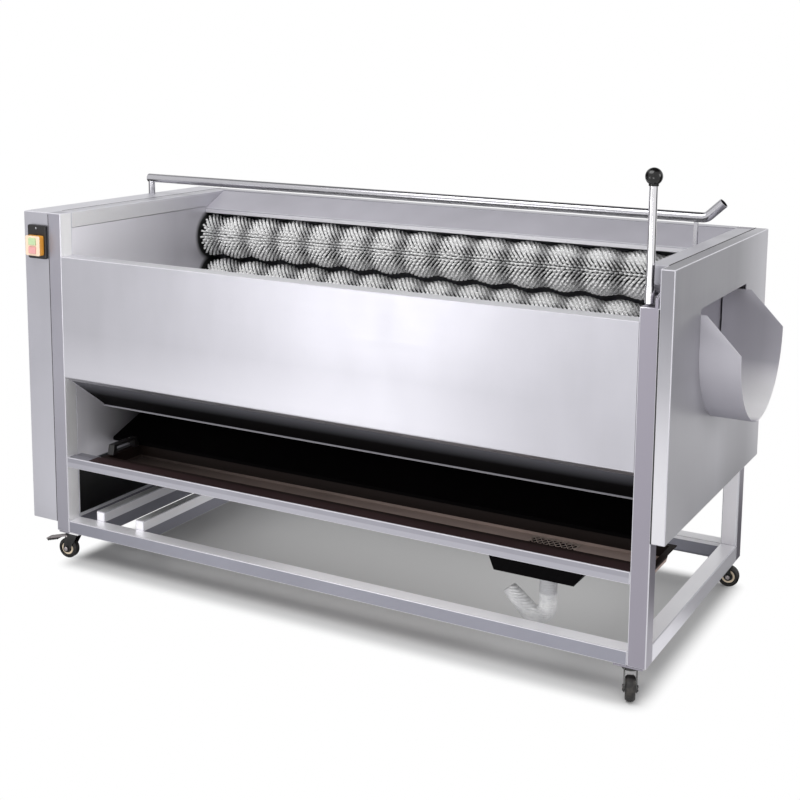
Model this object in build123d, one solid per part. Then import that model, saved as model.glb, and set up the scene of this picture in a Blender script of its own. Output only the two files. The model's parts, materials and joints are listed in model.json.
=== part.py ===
# Roller vegetable washer: eight nylon brush rollers lie in a half circle under a spray pipe, a gear motor
# drives them through spur gears in the housing at the left end, the vegetables leave through a gated
# chute at the right end, and the water falls on sloping plates into a tray with a strainer and a drain.
# Built with x = 0 at the outside of the left posts, y = 0 at the front face and z = 0 under the frame.

import os
from math import acos, asin, atan2, cos, degrees, hypot, pi, radians, sin, tan

from build123d import *

# Frame of square tube
frame_length = 1500.0
frame_depth = 670.0
frame_height = 780.0
tube = 38.0
tube_wall = 2.0
front_rail_height = 30.0
lever_post_drop = 74.0
sheet = 2.0
wall_plate = 3.0
overrun = 1.0
seat_gap = 0.3
shaft_clearance = 0.05
pocket_clearance = 0.5

inner_left = tube
inner_right = frame_length - tube
inner_front = tube
inner_rear = frame_depth - tube
lever_post_height = frame_height - lever_post_drop

# Cross rails and stand under the gear motor
motor_rail_width = 25.0
motor_rail_height = 53.0
motor_rail_first = 92.0
motor_rail_spacing = 121.0
motor_seat_drop = 95.3
motor_stand_width = 130.0
motor_stand_sheet = 4.0
motor_stand_overhang = 8.0

# Roller train
roller_count = 8
gear_module = 5.0
gear_teeth = 24
roller_arc_radius = 251.5
roller_arc_shift = 2.0
roller_arc_drop = 180.0
roller_arc_y = frame_depth / 2 - roller_arc_shift
roller_arc_z = frame_height - roller_arc_drop
first_roller_angle = 14.5
roller_pitch = gear_module * gear_teeth
roller_step = degrees(2 * asin(roller_pitch / 2 / roller_arc_radius))

# Brushes
brush_radius = 58.0
brush_core_radius = 32.0
brush_end_gap = 4.0
brush_fit = 0.1
wave_pitch = 105.0
strand_side_radius = 2.2
strand_root = 1.0
strands_per_wave = 4
strand_sides = 3

# Shafts, gears and bearings
shaft_radius = 12.5
gear_width = 20.0
gear_hub_radius = 22.0
gear_hub_width = 5.0
gear_backlash = 0.3
gear_addendum = 1.0 * gear_module
gear_dedendum = 1.25 * gear_module
pressure_angle = 20.0
gear_wall_gap = 55.0
shaft_end_stub = 4.0
bearing_flange = 60.0
bearing_flange_thickness = 8.0
bearing_flange_corner = 10.0
bearing_boss_radius = 22.0
bearing_boss_length = 12.0
shaft_hole_radius = 16.0

# Gear motor on its stand
drive_teeth = 36
rollers_before_drive_count = 3
motor_head_radius = 56.0
motor_head_length = 110.0
motor_body_radius = 60.0
motor_body_length = 150.0
motor_cowl_length = 40.0
motor_cowl_inset = 4.0
motor_ring_count = 3
motor_wall_gap = 6.0
motor_foot_width = 100.0
motor_foot_thickness = 10.0
motor_web = 12.0
motor_box = (70.0, 30.0, 60.0)
drive_hole_radius = 20.0
drive_web_thickness = 8.0
drive_rim = 14.0
drive_hub_radius = 26.0

# Panels
panel_drop = 102.0
panel_height = 290.0
panel_high = frame_height - panel_drop
panel_low = panel_high - panel_height
panel_ledge = 42.0
panel_lip = 10.0
under_panel_depth = 131.0
under_panel_drop = 97.0
under_panel_lip = 6.0
panel_return = 20.0
catch_overhang = 16.0
catch_roller_gap = 9.2
catch_lip = 6.0
catch_slope_share = 0.375
catch_flange = 16.0
rear_panel_drop = 10.0
guard_width = 81.0
guard_fall = 41.0
guard_lip = 13.0
guard_flange = 26.0
right_wall_drop = 138.0
right_wall_low = panel_low - right_wall_drop

# Gear housing, end cover and chute
housing_width = 76.0
housing_low = 22.0
cover_depth = 28.0
cover_rise = 3.0
cover_low = right_wall_low + cover_rise
chute_radius = 165.0
chute_drop = 5.0
chute_side_drop = 112.0
chute_flat_reach = 40.0
chute_reach = 111.0
opening_rise = 12.0
wall_opening_gap = 3.0
chute_y = frame_depth / 2
chute_z = roller_arc_z - chute_drop
chute_side_top = frame_height - chute_side_drop
chute_flat_end = frame_length + chute_flat_reach
chute_end = frame_length + chute_reach
opening_top = chute_side_top + opening_rise
opening_radius = chute_radius + seat_gap
wall_opening_radius = chute_radius + wall_opening_gap

# Discharge gate and its lever
gate_shaft_inset = 26.0
gate_shaft_drop = 56.0
gate_shaft_x = frame_length - gate_shaft_inset
gate_shaft_z = frame_height - gate_shaft_drop
gate_shaft_radius = 8.0
gate_side_gap = 5.0
gate_half_width = chute_radius - gate_side_gap
gate_thickness = 3.0
gate_lug_inset = 26.0
gate_lug_gap = 18.0
gate_lug_y = inner_front + gate_lug_inset
gate_lug_rear_y = chute_y + chute_radius + gate_lug_gap
gate_lug_thickness = 10.0
gate_lug_radius = 15.0
chute_gap = 4.0
lever_y = tube / 2
lever_radius = 8.0
lever_socket_radius = 9.5
lever_socket_rise = 20.0
lever_socket_drop = 13.0
lever_insert = 16.0
lever_length = 194.0
lever_socket_top = gate_shaft_z + lever_socket_rise
lever_top = lever_socket_top + lever_length
knob_radius = 16.5
knob_neck_radius = 9.5
knob_insert = 18.0
lever_ear_inset = 8.0
lever_ear_x = frame_length - lever_ear_inset
lever_ear_thickness = 6.0
lever_ear_depth = 60.0
lever_rail_gap = 6.0
lever_rail_start = tube + lever_rail_gap

# Spray pipe
pipe_radius = 11.0
pipe_bore_radius = 9.5
pipe_shift = 122.0
pipe_rise = 42.0
pipe_left_inset = 2.0
pipe_bend_inset = 53.0
pipe_y = roller_arc_y + pipe_shift
pipe_z = frame_height + pipe_rise
pipe_bend_x = frame_length - pipe_bend_inset
pipe_bend_radius = 22.0
pipe_inlet_angle = 43.0
pipe_inlet_run = 50.0
pipe_cap = 3.0
pipe_stub_radius = 8.5
pipe_stub_inset = 10.0
pipe_stub_x = pipe_stub_inset - housing_width
pipe_stand_inset = 75.0
pipe_stand_x = frame_length - pipe_stand_inset
pipe_stand_width = 8.0
pipe_foot_drop = 80.0
pipe_foot_z = frame_height - pipe_foot_drop
pipe_foot_depth = 30.0
pipe_foot_thickness = 6.0
spray_hole_radius = 2.0
spray_hole_count = 12
spray_hole_start = 80.0

# Tray, its rails, strainer, handle and drain
tray_rail = 25.0
tray_ledge_sheet = 2.0
tray_ledge_lap = 8.0
tray_left_inset = 70.0
tray_right_inset = 4.0
tray_front_gap = 15.0
tray_width = 142.0
tray_catch_gap = 7.0
tray_left = inner_left + tray_left_inset
tray_right = frame_length - tray_right_inset
tray_front = tray_rail + tray_front_gap
tray_rear = tray_front + tray_width
catch_low_y = tray_rear - catch_overhang
catch_low_z = (roller_arc_z - (roller_arc_y - catch_low_y) * catch_slope_share
               - (roller_arc_radius + brush_radius + catch_roller_gap) * hypot(1, catch_slope_share))
tray_rail_top = catch_low_z - tray_catch_gap
tray_rim = 10.0
tray_depth = 30.0
tray_taper = 6.0
tray_angle_leg = 26.0
tray_rail_gap = 0.3
strainer_inset = 303.0
strainer_x = tray_right - strainer_inset
strainer_length = 107.0
strainer_width = 98.0
strainer_thickness = 1.5
strainer_lip = 4.0
strainer_rows = 6
strainer_columns = 8
strainer_hole = 7.0
strainer_frame = 6.0
funnel_left_reach = 63.0
funnel_right_reach = 60.0
funnel_left_taper = 14.0
funnel_right_taper = 38.0
funnel_drop = 82.0
funnel_inset = 10.0
drain_inset = 119.0
funnel_left = strainer_x - funnel_left_reach
funnel_right = strainer_x + strainer_length + funnel_right_reach
funnel_low = tray_rail_top - funnel_drop
drain_x = funnel_left + drain_inset
spigot_radius = 15.0
spigot_wall = 1.5
spigot_length = 22.0
hose_radius = 17.5
hose_bore_radius = 15.2
hose_rib_radius = 19.5
hose_rib_width = 5.0
hose_rib_pitch = 12.0
hose_rib_count = 4
hose_bend_radius = 26.0
hose_drop = 88.0
hose_arm_angle = 48.0
hose_arm_length = 50.0
hose_socket_radius = 16.0
hose_socket_depth = 20.0
handle_width = 96.0
handle_depth = 18.0
handle_height = 25.0
handle_strap = 6.0
handle_foot = 16.0

# Switch box with two push buttons
switch_width = 56.0
switch_height = 80.0
switch_thickness = 8.0
switch_corner = 4.0
switch_shift = 8.0
switch_drop = 111.0
switch_x = switch_shift - housing_width / 2
switch_low = frame_height - switch_drop
cover_width = 44.0
cover_height = 47.0
cover_thickness = 14.0
cover_margin = 9.0
button_width = 22.0
button_height = 17.0
button_rise = 3.0
button_gap = 0.3
button_pitch = 20.5
button_reach = 10.0

# Casters
caster_inset = 36.0
caster_plate = (60.0, 38.0, 3.0)
wheel_radius = 25.0
wheel_width = 20.0
wheel_rim_radius = 17.0
wheel_hub_radius = 8.0
wheel_groove = 3.0
wheel_round = 4.0
caster_height = 70.0
caster_trail = 15.0
caster_headings = {"front_left": 188.0, "rear_left": 180.0, "front_right": 290.0, "rear_right": 8.0}
kingpin_radius = 5.0
kingpin_head_radius = 9.0
kingpin_head_thickness = 2.5
crown_radius = 18.0
crown_thickness = 6.0
crown_gap = 0.3
cheek_thickness = 3.0
cheek_gap = 0.6
cheek_boss_radius = 9.0
cheek_drop = 3.0
axle_radius = 4.0
axle_head_radius = 6.5
axle_head_thickness = 2.0
pedal_length = 62.0
pedal_thickness = 2.5
pedal_pin_radius = 2.5
pedal_pin_x = 14.0
pedal_pin_drop = 13.0
pedal_angle = 14.0

part_low_x = -housing_width
part_high_x = chute_end
part_low_y = -(switch_thickness + cover_thickness + button_rise)
part_high_y = frame_depth
to_part = Pos(-(part_low_x + part_high_x) / 2, -(part_low_y + part_high_y) / 2, caster_height)


# Basic shapes

def block(x_from, x_to, y_from, y_to, z_from, z_to):
    corner = (Align.MIN, Align.MIN, Align.MIN)
    return Pos(x_from, y_from, z_from) * Box(x_to - x_from, y_to - y_from, z_to - z_from, align=corner)


def hollow_bar(x_from, x_to, y_from, y_to, z_from, z_to):
    w = tube_wall
    inner = block(x_from + w, x_to - w, y_from + w, y_to - w, z_from + w, z_to - w)
    return block(x_from, x_to, y_from, y_to, z_from, z_to) - inner


def rod_x(radius, x_from, x_to, y, z):
    return extrude(Plane.YZ * Pos(y, z) * Circle(radius), x_to - x_from).moved(Pos(x_from, 0, 0))


def rod_y(radius, y_from, y_to, x, z):
    face = Plane.XZ.offset(-y_to) * Pos(x, z) * Circle(radius)
    return extrude(face, y_to - y_from)


def rod_z(radius, z_from, z_to, x, y):
    return extrude(Pos(x, y, z_from) * Circle(radius), z_to - z_from)


def profile_along_x(points, x_from, x_to):
    face = make_face(Plane.YZ * Polyline(*points, close=True))
    return extrude(face, x_to - x_from, dir=(1, 0, 0)).moved(Pos(x_from, 0, 0))


def bent_sheet(points, thickness, x_from, x_to):
    # The section of a folded sheet: the points are one face, the other lies to the left of their direction.
    normals = []
    for start, end in zip(points, points[1:]):
        run = hypot(end[0] - start[0], end[1] - start[1])
        normals.append((-(end[1] - start[1]) / run, (end[0] - start[0]) / run))
    other = []
    for index, point in enumerate(points):
        before = normals[max(index - 1, 0)]
        after = normals[min(index, len(normals) - 1)]
        share = thickness / (1 + before[0] * after[0] + before[1] * after[1])
        other.append((point[0] + share * (before[0] + after[0]), point[1] + share * (before[1] + after[1])))
    return profile_along_x(list(points) + other[::-1], x_from, x_to)


def group(*shapes):
    solids = []
    for shape in shapes:
        solids.extend(shape.solids())
    return Compound(children=solids)


# Frame

def base_frame():
    rails = [
        hollow_bar(inner_left, inner_right, 0, tube, 0, front_rail_height),
        hollow_bar(inner_left, inner_right, inner_rear, frame_depth, 0, tube),
        hollow_bar(0, inner_left, inner_front, inner_rear, 0, tube),
        hollow_bar(inner_right, frame_length, inner_front, inner_rear, 0, tube),
    ]
    for index in range(2):
        x = motor_rail_first + index * motor_rail_spacing
        rails.append(hollow_bar(x, x + motor_rail_width, inner_front, inner_rear, 0, motor_rail_height))
    return group(*rails)


def motor_stand():
    y, z = drive_centre()
    x_from = motor_rail_first - motor_stand_overhang
    x_to = motor_rail_first + motor_rail_spacing + motor_rail_width + motor_stand_overhang
    low, high = motor_rail_height + motor_stand_sheet, z - motor_seat_drop
    half = motor_stand_width / 2
    foot = motor_stand_overhang
    points = [(y - half - foot, low), (y - half, low), (y - half, high), (y + half, high), (y + half, low),
              (y + half + foot, low)]
    return bent_sheet(points, -motor_stand_sheet, x_from, x_to)


def caster_plate_at(x, y):
    length, width, thickness = caster_plate
    plate = block(x - length / 2, x + length / 2, y - width / 2, y + width / 2, -thickness, 0)
    crown_low = -thickness - crown_gap - crown_thickness
    head_top = crown_low - crown_gap
    pin = rod_z(kingpin_radius, head_top, -thickness, x, y)
    head = rod_z(kingpin_head_radius, head_top - kingpin_head_thickness, head_top, x, y)
    return plate + pin + head


def caster_centre(corner):
    end, side = corner.split("_")[1], corner.split("_")[0]
    x = caster_inset if end == "left" else frame_length - caster_inset
    y = tube / 2 if side == "front" else frame_depth - tube / 2
    return x, y


def post(corner):
    x, y = caster_centre(corner)
    x_from = 0 if "left" in corner else inner_right
    y_from = 0 if "front" in corner else inner_rear
    top = lever_post_height if corner == "front_right" else frame_height
    column = hollow_bar(x_from, x_from + tube, y_from, y_from + tube, 0, top)
    if corner == "front_right":
        column += lever_ear()
    return group(column, caster_plate_at(x, y))


def lever_ear():
    rail_low = frame_height - tube
    ear = block(lever_ear_x, lever_ear_x + lever_ear_thickness, 0, lever_ear_depth, lever_post_height,
                rail_low)
    slope = lever_post_height + tube / 2
    corner = Polyline((0, slope), (0, rail_low), (lever_rail_start, rail_low), close=True)
    cut = extrude(make_face(Plane.YZ * corner), frame_length, dir=(1, 0, 0))
    bolt = rod_x(lever_ear_thickness / 2, lever_ear_x - lever_ear_thickness / 2, lever_ear_x,
                 tube, (lever_post_height + rail_low) / 2)
    return ear - cut + bolt


def top_frame():
    low = frame_height - tube
    return group(
        hollow_bar(0, inner_left, inner_front, inner_rear, low, frame_height),
        hollow_bar(inner_left, inner_right, inner_rear, frame_depth, low, frame_height),
        hollow_bar(inner_right, frame_length, lever_rail_start, inner_rear, low, frame_height),
    )


def tray_rails():
    low, high = tray_rail_top - tray_rail, tray_rail_top
    front = hollow_bar(inner_left, inner_right, 0, tray_rail, low, high)
    ledge_top = tray_rail_top - sheet - tray_rail_gap
    ledge_low = ledge_top - tray_ledge_sheet
    front += block(inner_left, inner_right, tray_rail, tray_front + tray_ledge_lap, ledge_low, ledge_top)
    rear_from = tray_rear - tray_ledge_lap
    rear_to = rear_from + tray_angle_leg
    upright_from = rear_to - tray_ledge_sheet
    plate_low = catch_z(upright_from) - seat_gap
    rear = block(inner_left, inner_right, rear_from, rear_to, ledge_low, ledge_top)
    rear += block(inner_left, inner_right, upright_from, rear_to, ledge_low, plate_low)
    return group(front, rear)


# Roller train

def roller_angle(index):
    return radians(first_roller_angle - index * roller_step)


def roller_centre(index):
    a = roller_angle(index)
    return roller_arc_y + roller_arc_radius * cos(a), roller_arc_z + roller_arc_radius * sin(a)


def direction(start, end):
    return atan2(end[1] - start[1], end[0] - start[0])


def mesh_phase(phase, teeth, other_teeth, line):
    # A tooth of the first gear at the angle phase meets a gap of the second one on the line of centres.
    return line + pi + pi / other_teeth - (phase - line) * teeth / other_teeth


def gear_phase(index):
    phase = 0.0
    for step in range(index):
        line = direction(roller_centre(step), roller_centre(step + 1))
        phase = mesh_phase(phase, gear_teeth, gear_teeth, line)
    return phase


def drive_centre():
    y, z = roller_centre(rollers_before_drive_count)
    return y, z - gear_module * (gear_teeth + drive_teeth) / 2


def gear_outline(teeth):
    # Straight flanks drawn through the ends of the involute, so that they stay inside the true tooth.
    pitch_radius = gear_module * teeth / 2
    base_radius = pitch_radius * cos(radians(pressure_angle))
    tip = pitch_radius + gear_addendum
    root = pitch_radius - gear_dedendum
    tip_pressure = acos(base_radius / tip)
    base_half = (pi / 2 / teeth - gear_backlash / 2 / pitch_radius
                 + tan(radians(pressure_angle)) - radians(pressure_angle))
    tip_half = base_half - tan(tip_pressure) + tip_pressure
    points = []
    for tooth in range(teeth):
        middle = 2 * pi * tooth / teeth
        for radius, turn in ((root, -base_half), (tip, -tip_half), (tip, tip_half), (root, base_half)):
            points.append((radius * cos(middle + turn), radius * sin(middle + turn)))
    return points


def gear_x():
    return inner_left - gear_wall_gap - gear_width


def spur_gear(teeth, hub_radius):
    bore = Circle(shaft_radius + shaft_clearance)
    face = make_face(Polyline(*gear_outline(teeth), close=True)) - bore
    blank = extrude(Plane.YZ * face, gear_width)
    hub = extrude(Plane.YZ * (Circle(hub_radius) - bore), gear_width + gear_hub_width)
    return blank + hub


def drive_gear_blank():
    gear = spur_gear(drive_teeth, drive_hub_radius)
    root = gear_module * drive_teeth / 2 - gear_dedendum
    recess = extrude(Plane.YZ * (Circle(root - drive_rim) - Circle(drive_hub_radius)), gear_width)
    web = extrude(Plane.YZ * (Circle(root - drive_rim) - Circle(drive_hub_radius)), drive_web_thickness)
    return gear - recess + web.moved(Pos((gear_width - drive_web_thickness) / 2, 0, 0))


def placed_in_train(shape, angle, y, z):
    return shape.moved(Pos(0, y, z) * Rot(degrees(angle), 0, 0))


def shaft_left_end():
    return gear_x() - shaft_end_stub


def roller_shaft(index):
    y, z = roller_centre(index)
    right_end = inner_right + wall_plate + bearing_flange_thickness + bearing_boss_length + shaft_end_stub
    shaft = rod_x(shaft_radius, shaft_left_end(), right_end, y, z)
    gear = spur_gear(gear_teeth, gear_hub_radius).moved(Pos(gear_x(), 0, 0))
    return group(shaft, placed_in_train(gear, gear_phase(index), y, z))


def brush_range():
    return inner_left + brush_end_gap, inner_right - brush_end_gap


def brush(hand):
    # One spiral of strands on the bored core; hand is 1 or -1 for the sense of the spiral.
    x_from, x_to = brush_range()
    core = rod_x(brush_core_radius, x_from, x_to, 0, 0) - rod_x(shaft_radius + brush_fit, x_from, x_to, 0, 0)
    strand_face = Pos(0, 0, brush_core_radius - strand_root) * RegularPolygon(
        strand_side_radius, strand_sides)
    strand = extrude(strand_face, brush_radius - brush_core_radius + strand_root)
    count = int((x_to - x_from) * strands_per_wave / wave_pitch)
    spacing = (x_to - x_from) / count
    strands = []
    for number in range(count):
        x = x_from + (number + 1 / 2) * spacing
        turn = hand * degrees(2 * pi * (x - x_from) / wave_pitch)
        strands.append(strand.moved(Pos(x, 0, 0) * Rot(turn, 0, 0)))
    return core.fuse(*strands)


def brush_turn(index):
    # The thick waves of one brush meet the thin ones of its neighbour.
    turn = 0.0
    for step in range(index):
        turn = 2 * direction(roller_centre(step), roller_centre(step + 1)) - turn
    return turn


def bearing(toward):
    # Flanged block on its wall, with the boss turned to toward: 1 for +X, -1 for -X.
    flange = extrude(Plane.YZ * RectangleRounded(bearing_flange, bearing_flange, bearing_flange_corner),
                     toward * bearing_flange_thickness)
    boss = extrude(Plane.YZ * Circle(bearing_boss_radius), toward * bearing_boss_length)
    boss = boss.moved(Pos(toward * bearing_flange_thickness, 0, 0))
    length = bearing_flange_thickness + bearing_boss_length
    bore = rod_x(shaft_radius + shaft_clearance, -length - overrun, length + overrun, 0, 0)
    return flange + boss - bore


def bearings(toward):
    wall_x = inner_left - wall_plate if toward < 0 else inner_right + wall_plate
    block_shape = bearing(toward)
    return group(*[block_shape.moved(Pos(wall_x, *roller_centre(i))) for i in range(roller_count)])


# Gear motor

def motor_start():
    return inner_left + motor_wall_gap


def gear_motor():
    y, z = drive_centre()
    start = motor_start()
    head_end = start + motor_head_length
    body_end = head_end + motor_body_length
    cowl_end = body_end + motor_cowl_length
    head = rod_x(motor_head_radius, start, head_end, y, z)
    foot_low = z - motor_seat_drop
    second_foot = motor_rail_first + motor_rail_spacing
    body = rod_x(motor_body_radius, head_end, body_end, y, z)
    for index in range(1, motor_ring_count + 1):
        x = head_end + index * motor_body_length / (motor_ring_count + 1)
        ring = rod_x(motor_body_radius, x, x + motor_cowl_inset, y, z)
        body -= ring - rod_x(motor_body_radius - motor_cowl_inset, x, x + motor_cowl_inset, y, z)
    body += rod_x(motor_body_radius - motor_cowl_inset, body_end, cowl_end, y, z)
    body += block(head_end + motor_web, head_end + motor_web + motor_box[0],
                  y - motor_body_radius - motor_box[1] / 2, y, z - motor_box[2] / 2, z + motor_box[2] / 2)
    head += motor_foot(motor_rail_first, y, z, foot_low)
    body += motor_foot(second_foot, y, z, foot_low)
    bore = rod_x(shaft_radius + shaft_clearance, start - overrun, start + motor_head_length / 2, y, z)
    return group(head - bore, body)


def motor_foot(x, y, z, low):
    half = motor_foot_width / 2
    pad = block(x, x + motor_rail_width, y - half, y + half, low, low + motor_foot_thickness)
    web = block(x, x + motor_web, y - half / 2, y + half / 2, low, z - motor_head_radius / 2)
    return pad + web


def drive_gear():
    y, z = drive_centre()
    line = direction(roller_centre(rollers_before_drive_count), (y, z))
    phase = mesh_phase(gear_phase(rollers_before_drive_count), gear_teeth, drive_teeth, line)
    gear = drive_gear_blank().moved(Pos(gear_x(), 0, 0))
    shaft = rod_x(shaft_radius, shaft_left_end(), motor_start() + motor_head_length / 2 - overrun, y, z)
    return group(shaft, placed_in_train(gear, phase, y, z))


# End walls and panels

def shaft_holes(x_from, x_to):
    return [rod_x(shaft_hole_radius, x_from, x_to, *roller_centre(i)) for i in range(roller_count)]


def trough_opening(radius, x_from, x_to, top):
    # The prism of a U: straight sides up to top over a half circle.
    sides = Pos(chute_y, (chute_z + top) / 2) * Rectangle(2 * radius, top - chute_z)
    round_end = Pos(chute_y, chute_z) * Circle(radius) & Pos(chute_y, chute_z - radius) * Rectangle(
        2 * radius, 2 * radius)
    return extrude(Plane.YZ * (sides + round_end), x_to - x_from).moved(Pos(x_from, 0, 0))


def left_wall():
    low, high = tube, frame_height - tube
    x_from, x_to = inner_left - wall_plate, inner_left
    plate = block(x_from, x_to, inner_front, inner_rear, low, high)
    y, z = drive_centre()
    holes = shaft_holes(x_from - overrun, x_to + overrun)
    holes.append(rod_x(drive_hole_radius, x_from - overrun, x_to + overrun, y, z))
    return plate.cut(*holes)


def right_wall():
    low, high = right_wall_low, frame_height - tube
    x_from, x_to = inner_right, inner_right + wall_plate
    plate = block(x_from, x_to, inner_front, inner_rear, low, high)
    holes = shaft_holes(x_from - overrun, x_to + overrun)
    holes.append(trough_opening(wall_opening_radius, x_from - overrun, x_to + overrun, opening_top))
    plate = plate.cut(*holes)
    for y in (gate_lug_y, gate_lug_rear_y):
        lug = block(x_to, gate_shaft_x, y, y + gate_lug_thickness, gate_shaft_z - gate_lug_radius, high)
        lug += rod_y(gate_lug_radius, y, y + gate_lug_thickness, gate_shaft_x, gate_shaft_z)
        bore = rod_y(gate_shaft_radius + shaft_clearance, y - overrun, y + gate_lug_thickness + overrun,
                     gate_shaft_x, gate_shaft_z)
        plate += lug - bore - block(x_from - tube, x_to, y, y + gate_lug_thickness, low, high)
    return plate


def under_slope():
    run = hypot(under_panel_depth, under_panel_drop)
    return under_panel_depth / run, under_panel_drop / run


def front_panel():
    across, down = under_slope()
    points = [
        (panel_ledge, panel_high - panel_lip),
        (panel_ledge, panel_high),
        (0, panel_high),
        (0, panel_low),
        (panel_return * across, panel_low - panel_return * down),
    ]
    return bent_sheet(points, sheet, inner_left, inner_right)


def under_panel():
    across, down = under_slope()
    fold = sheet * down / (1 + across) + sheet
    start = (sheet, panel_low + sheet * (1 - down) / across + fold)
    top = (sheet, panel_low + sheet * (1 - down) / across)
    end = (top[0] + under_panel_depth, top[1] - under_panel_drop)
    lip = (end[0], end[1] - under_panel_lip)
    return bent_sheet([start, top, end, lip], sheet, inner_left, inner_right)


def catch_z(y):
    return catch_low_z + (y - catch_low_y) * catch_slope_share


def catch_plate():
    rear = frame_depth - sheet
    points = [
        (rear, catch_z(rear) + catch_flange),
        (rear, catch_z(rear)),
        (catch_low_y, catch_low_z),
        (catch_low_y, catch_low_z - catch_lip),
    ]
    return bent_sheet(points, -sheet, inner_left, inner_right)


def rear_panel():
    low = panel_low - rear_panel_drop
    return block(inner_left, inner_right, frame_depth - sheet, frame_depth, low, frame_height - tube)


def splash_guard():
    top = frame_height - overrun
    points = [
        (inner_rear, top - guard_flange),
        (inner_rear, top),
        (inner_rear - guard_width, frame_height - guard_fall),
        (inner_rear - guard_width, frame_height - guard_fall - guard_lip),
    ]
    return bent_sheet(points, sheet, inner_left, inner_right)


def gear_housing():
    outer = block(-housing_width, 0, 0, frame_depth, housing_low, frame_height)
    inner = block(sheet - housing_width, overrun, sheet, frame_depth - sheet, housing_low + sheet,
                  frame_height - sheet)
    return outer - inner


def end_cover():
    x_from, x_to = frame_length, frame_length + cover_depth
    outer = block(x_from, x_to, 0, frame_depth, cover_low, frame_height)
    inner = block(x_from - overrun, x_to - sheet, sheet, frame_depth - sheet, cover_low + sheet,
                  frame_height - sheet)
    return outer - inner - trough_opening(opening_radius, x_from, x_to + overrun, opening_top)


def chute():
    x_from = gate_shaft_x + chute_gap
    outer = trough_opening(chute_radius, x_from, chute_end, chute_side_top)
    inner = trough_opening(chute_radius - sheet, x_from - overrun, chute_end + overrun,
                           chute_side_top + overrun)
    slope = Polyline((chute_flat_end, chute_side_top), (chute_end, chute_z), (chute_end + overrun, chute_z),
                     (chute_end + overrun, frame_height), (chute_flat_end, frame_height), close=True)
    mouth = extrude(make_face(Plane.XZ * slope), -frame_depth)
    return outer - inner - mouth


# Discharge gate and lever

def gate_plate():
    x_from = gate_shaft_x - gate_thickness / 2
    top = gate_shaft_z - gate_shaft_radius
    return trough_opening(gate_half_width, x_from, x_from + gate_thickness, top)


def gate_lever():
    shaft_end = gate_lug_rear_y + gate_lug_thickness + overrun
    shaft = rod_y(gate_shaft_radius, lever_y, shaft_end, gate_shaft_x, gate_shaft_z)
    socket = rod_z(lever_socket_radius, gate_shaft_z - lever_socket_drop, lever_socket_top, gate_shaft_x,
                   lever_y)
    bore = rod_z(lever_radius + shaft_clearance, lever_socket_top - lever_insert, lever_socket_top + overrun,
                 gate_shaft_x, lever_y)
    rod = rod_z(lever_radius, lever_socket_top - lever_insert, lever_top, gate_shaft_x, lever_y)
    return group((shaft + socket) - bore, rod)


def lever_knob():
    centre = Pos(gate_shaft_x, lever_y, lever_top + knob_insert / 2)
    ball = centre * Sphere(knob_radius)
    neck_low = lever_top + knob_insert / 2 - knob_radius
    neck = rod_z(knob_neck_radius, neck_low - overrun, lever_top, gate_shaft_x, lever_y)
    bore = rod_z(lever_radius + shaft_clearance, neck_low - knob_radius, lever_top, gate_shaft_x, lever_y)
    return ball + neck - bore


# Spray pipe

def spray_path():
    a = radians(pipe_inlet_angle)
    end = (pipe_bend_x + pipe_inlet_run * cos(a), pipe_z + pipe_inlet_run * sin(a))
    path = FilletPolyline((pipe_left_inset - housing_width, pipe_z), (pipe_bend_x, pipe_z), end,
                          radius=pipe_bend_radius)
    return Plane.XZ.offset(-pipe_y) * path


def spray_pipe():
    path = spray_path()
    start = Plane(path @ 0, z_dir=path % 0)
    outer = sweep(start * Circle(pipe_radius), path=path)
    bore = sweep(start * Circle(pipe_bore_radius), path=path)
    cap = rod_x(pipe_radius, pipe_left_inset - housing_width, pipe_left_inset - housing_width + pipe_cap,
                pipe_y, pipe_z)
    left = rod_z(pipe_stub_radius, frame_height, pipe_z, pipe_stub_x, pipe_y)
    half = pipe_stand_width / 2
    stand = block(pipe_stand_x - half, pipe_stand_x + half, pipe_y - half, pipe_y + half, pipe_foot_z, pipe_z)
    foot = block(pipe_stand_x - half, inner_right, pipe_y - pipe_foot_depth / 2, pipe_y + pipe_foot_depth / 2,
                 pipe_foot_z - pipe_foot_thickness, pipe_foot_z)
    holes = []
    last = pipe_stand_x - spray_hole_start
    for number in range(spray_hole_count):
        x = spray_hole_start + number * (last - spray_hole_start) / (spray_hole_count - 1)
        holes.append(rod_z(spray_hole_radius, pipe_z - pipe_radius - overrun, pipe_z, x, pipe_y))
    return (outer + left + stand + foot - bore + cap).cut(*holes)


# Tray and drain

def tray_floor():
    return tray_rail_top - tray_depth


def tapered_pocket(x_from, x_to, y_from, y_to, z_low, z_high, inset):
    low = Pos((x_from + x_to) / 2, (y_from + y_to) / 2, z_low) * Rectangle(
        x_to - x_from - 2 * inset, y_to - y_from - 2 * inset)
    high = Pos((x_from + x_to) / 2, (y_from + y_to) / 2, z_high) * Rectangle(x_to - x_from, y_to - y_from)
    return loft([low, high])


def strainer_y():
    return (tray_front + tray_rear) / 2 - strainer_width / 2


def funnel(offset, z_low):
    y_from, y_to = tray_front + tray_rim + tray_taper, tray_rear - tray_rim - tray_taper
    middle = (y_from + y_to) / 2
    width = y_to - y_from
    high = Pos((funnel_left + funnel_right) / 2, middle, tray_floor() - sheet) * Rectangle(
        funnel_right - funnel_left - 2 * offset, width - 2 * offset)
    low_from, low_to = funnel_left + funnel_left_taper, funnel_right - funnel_right_taper
    low = Pos((low_from + low_to) / 2, middle, z_low) * Rectangle(
        low_to - low_from - 2 * offset, width - 2 * funnel_inset - 2 * offset)
    return loft([low, high])


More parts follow.
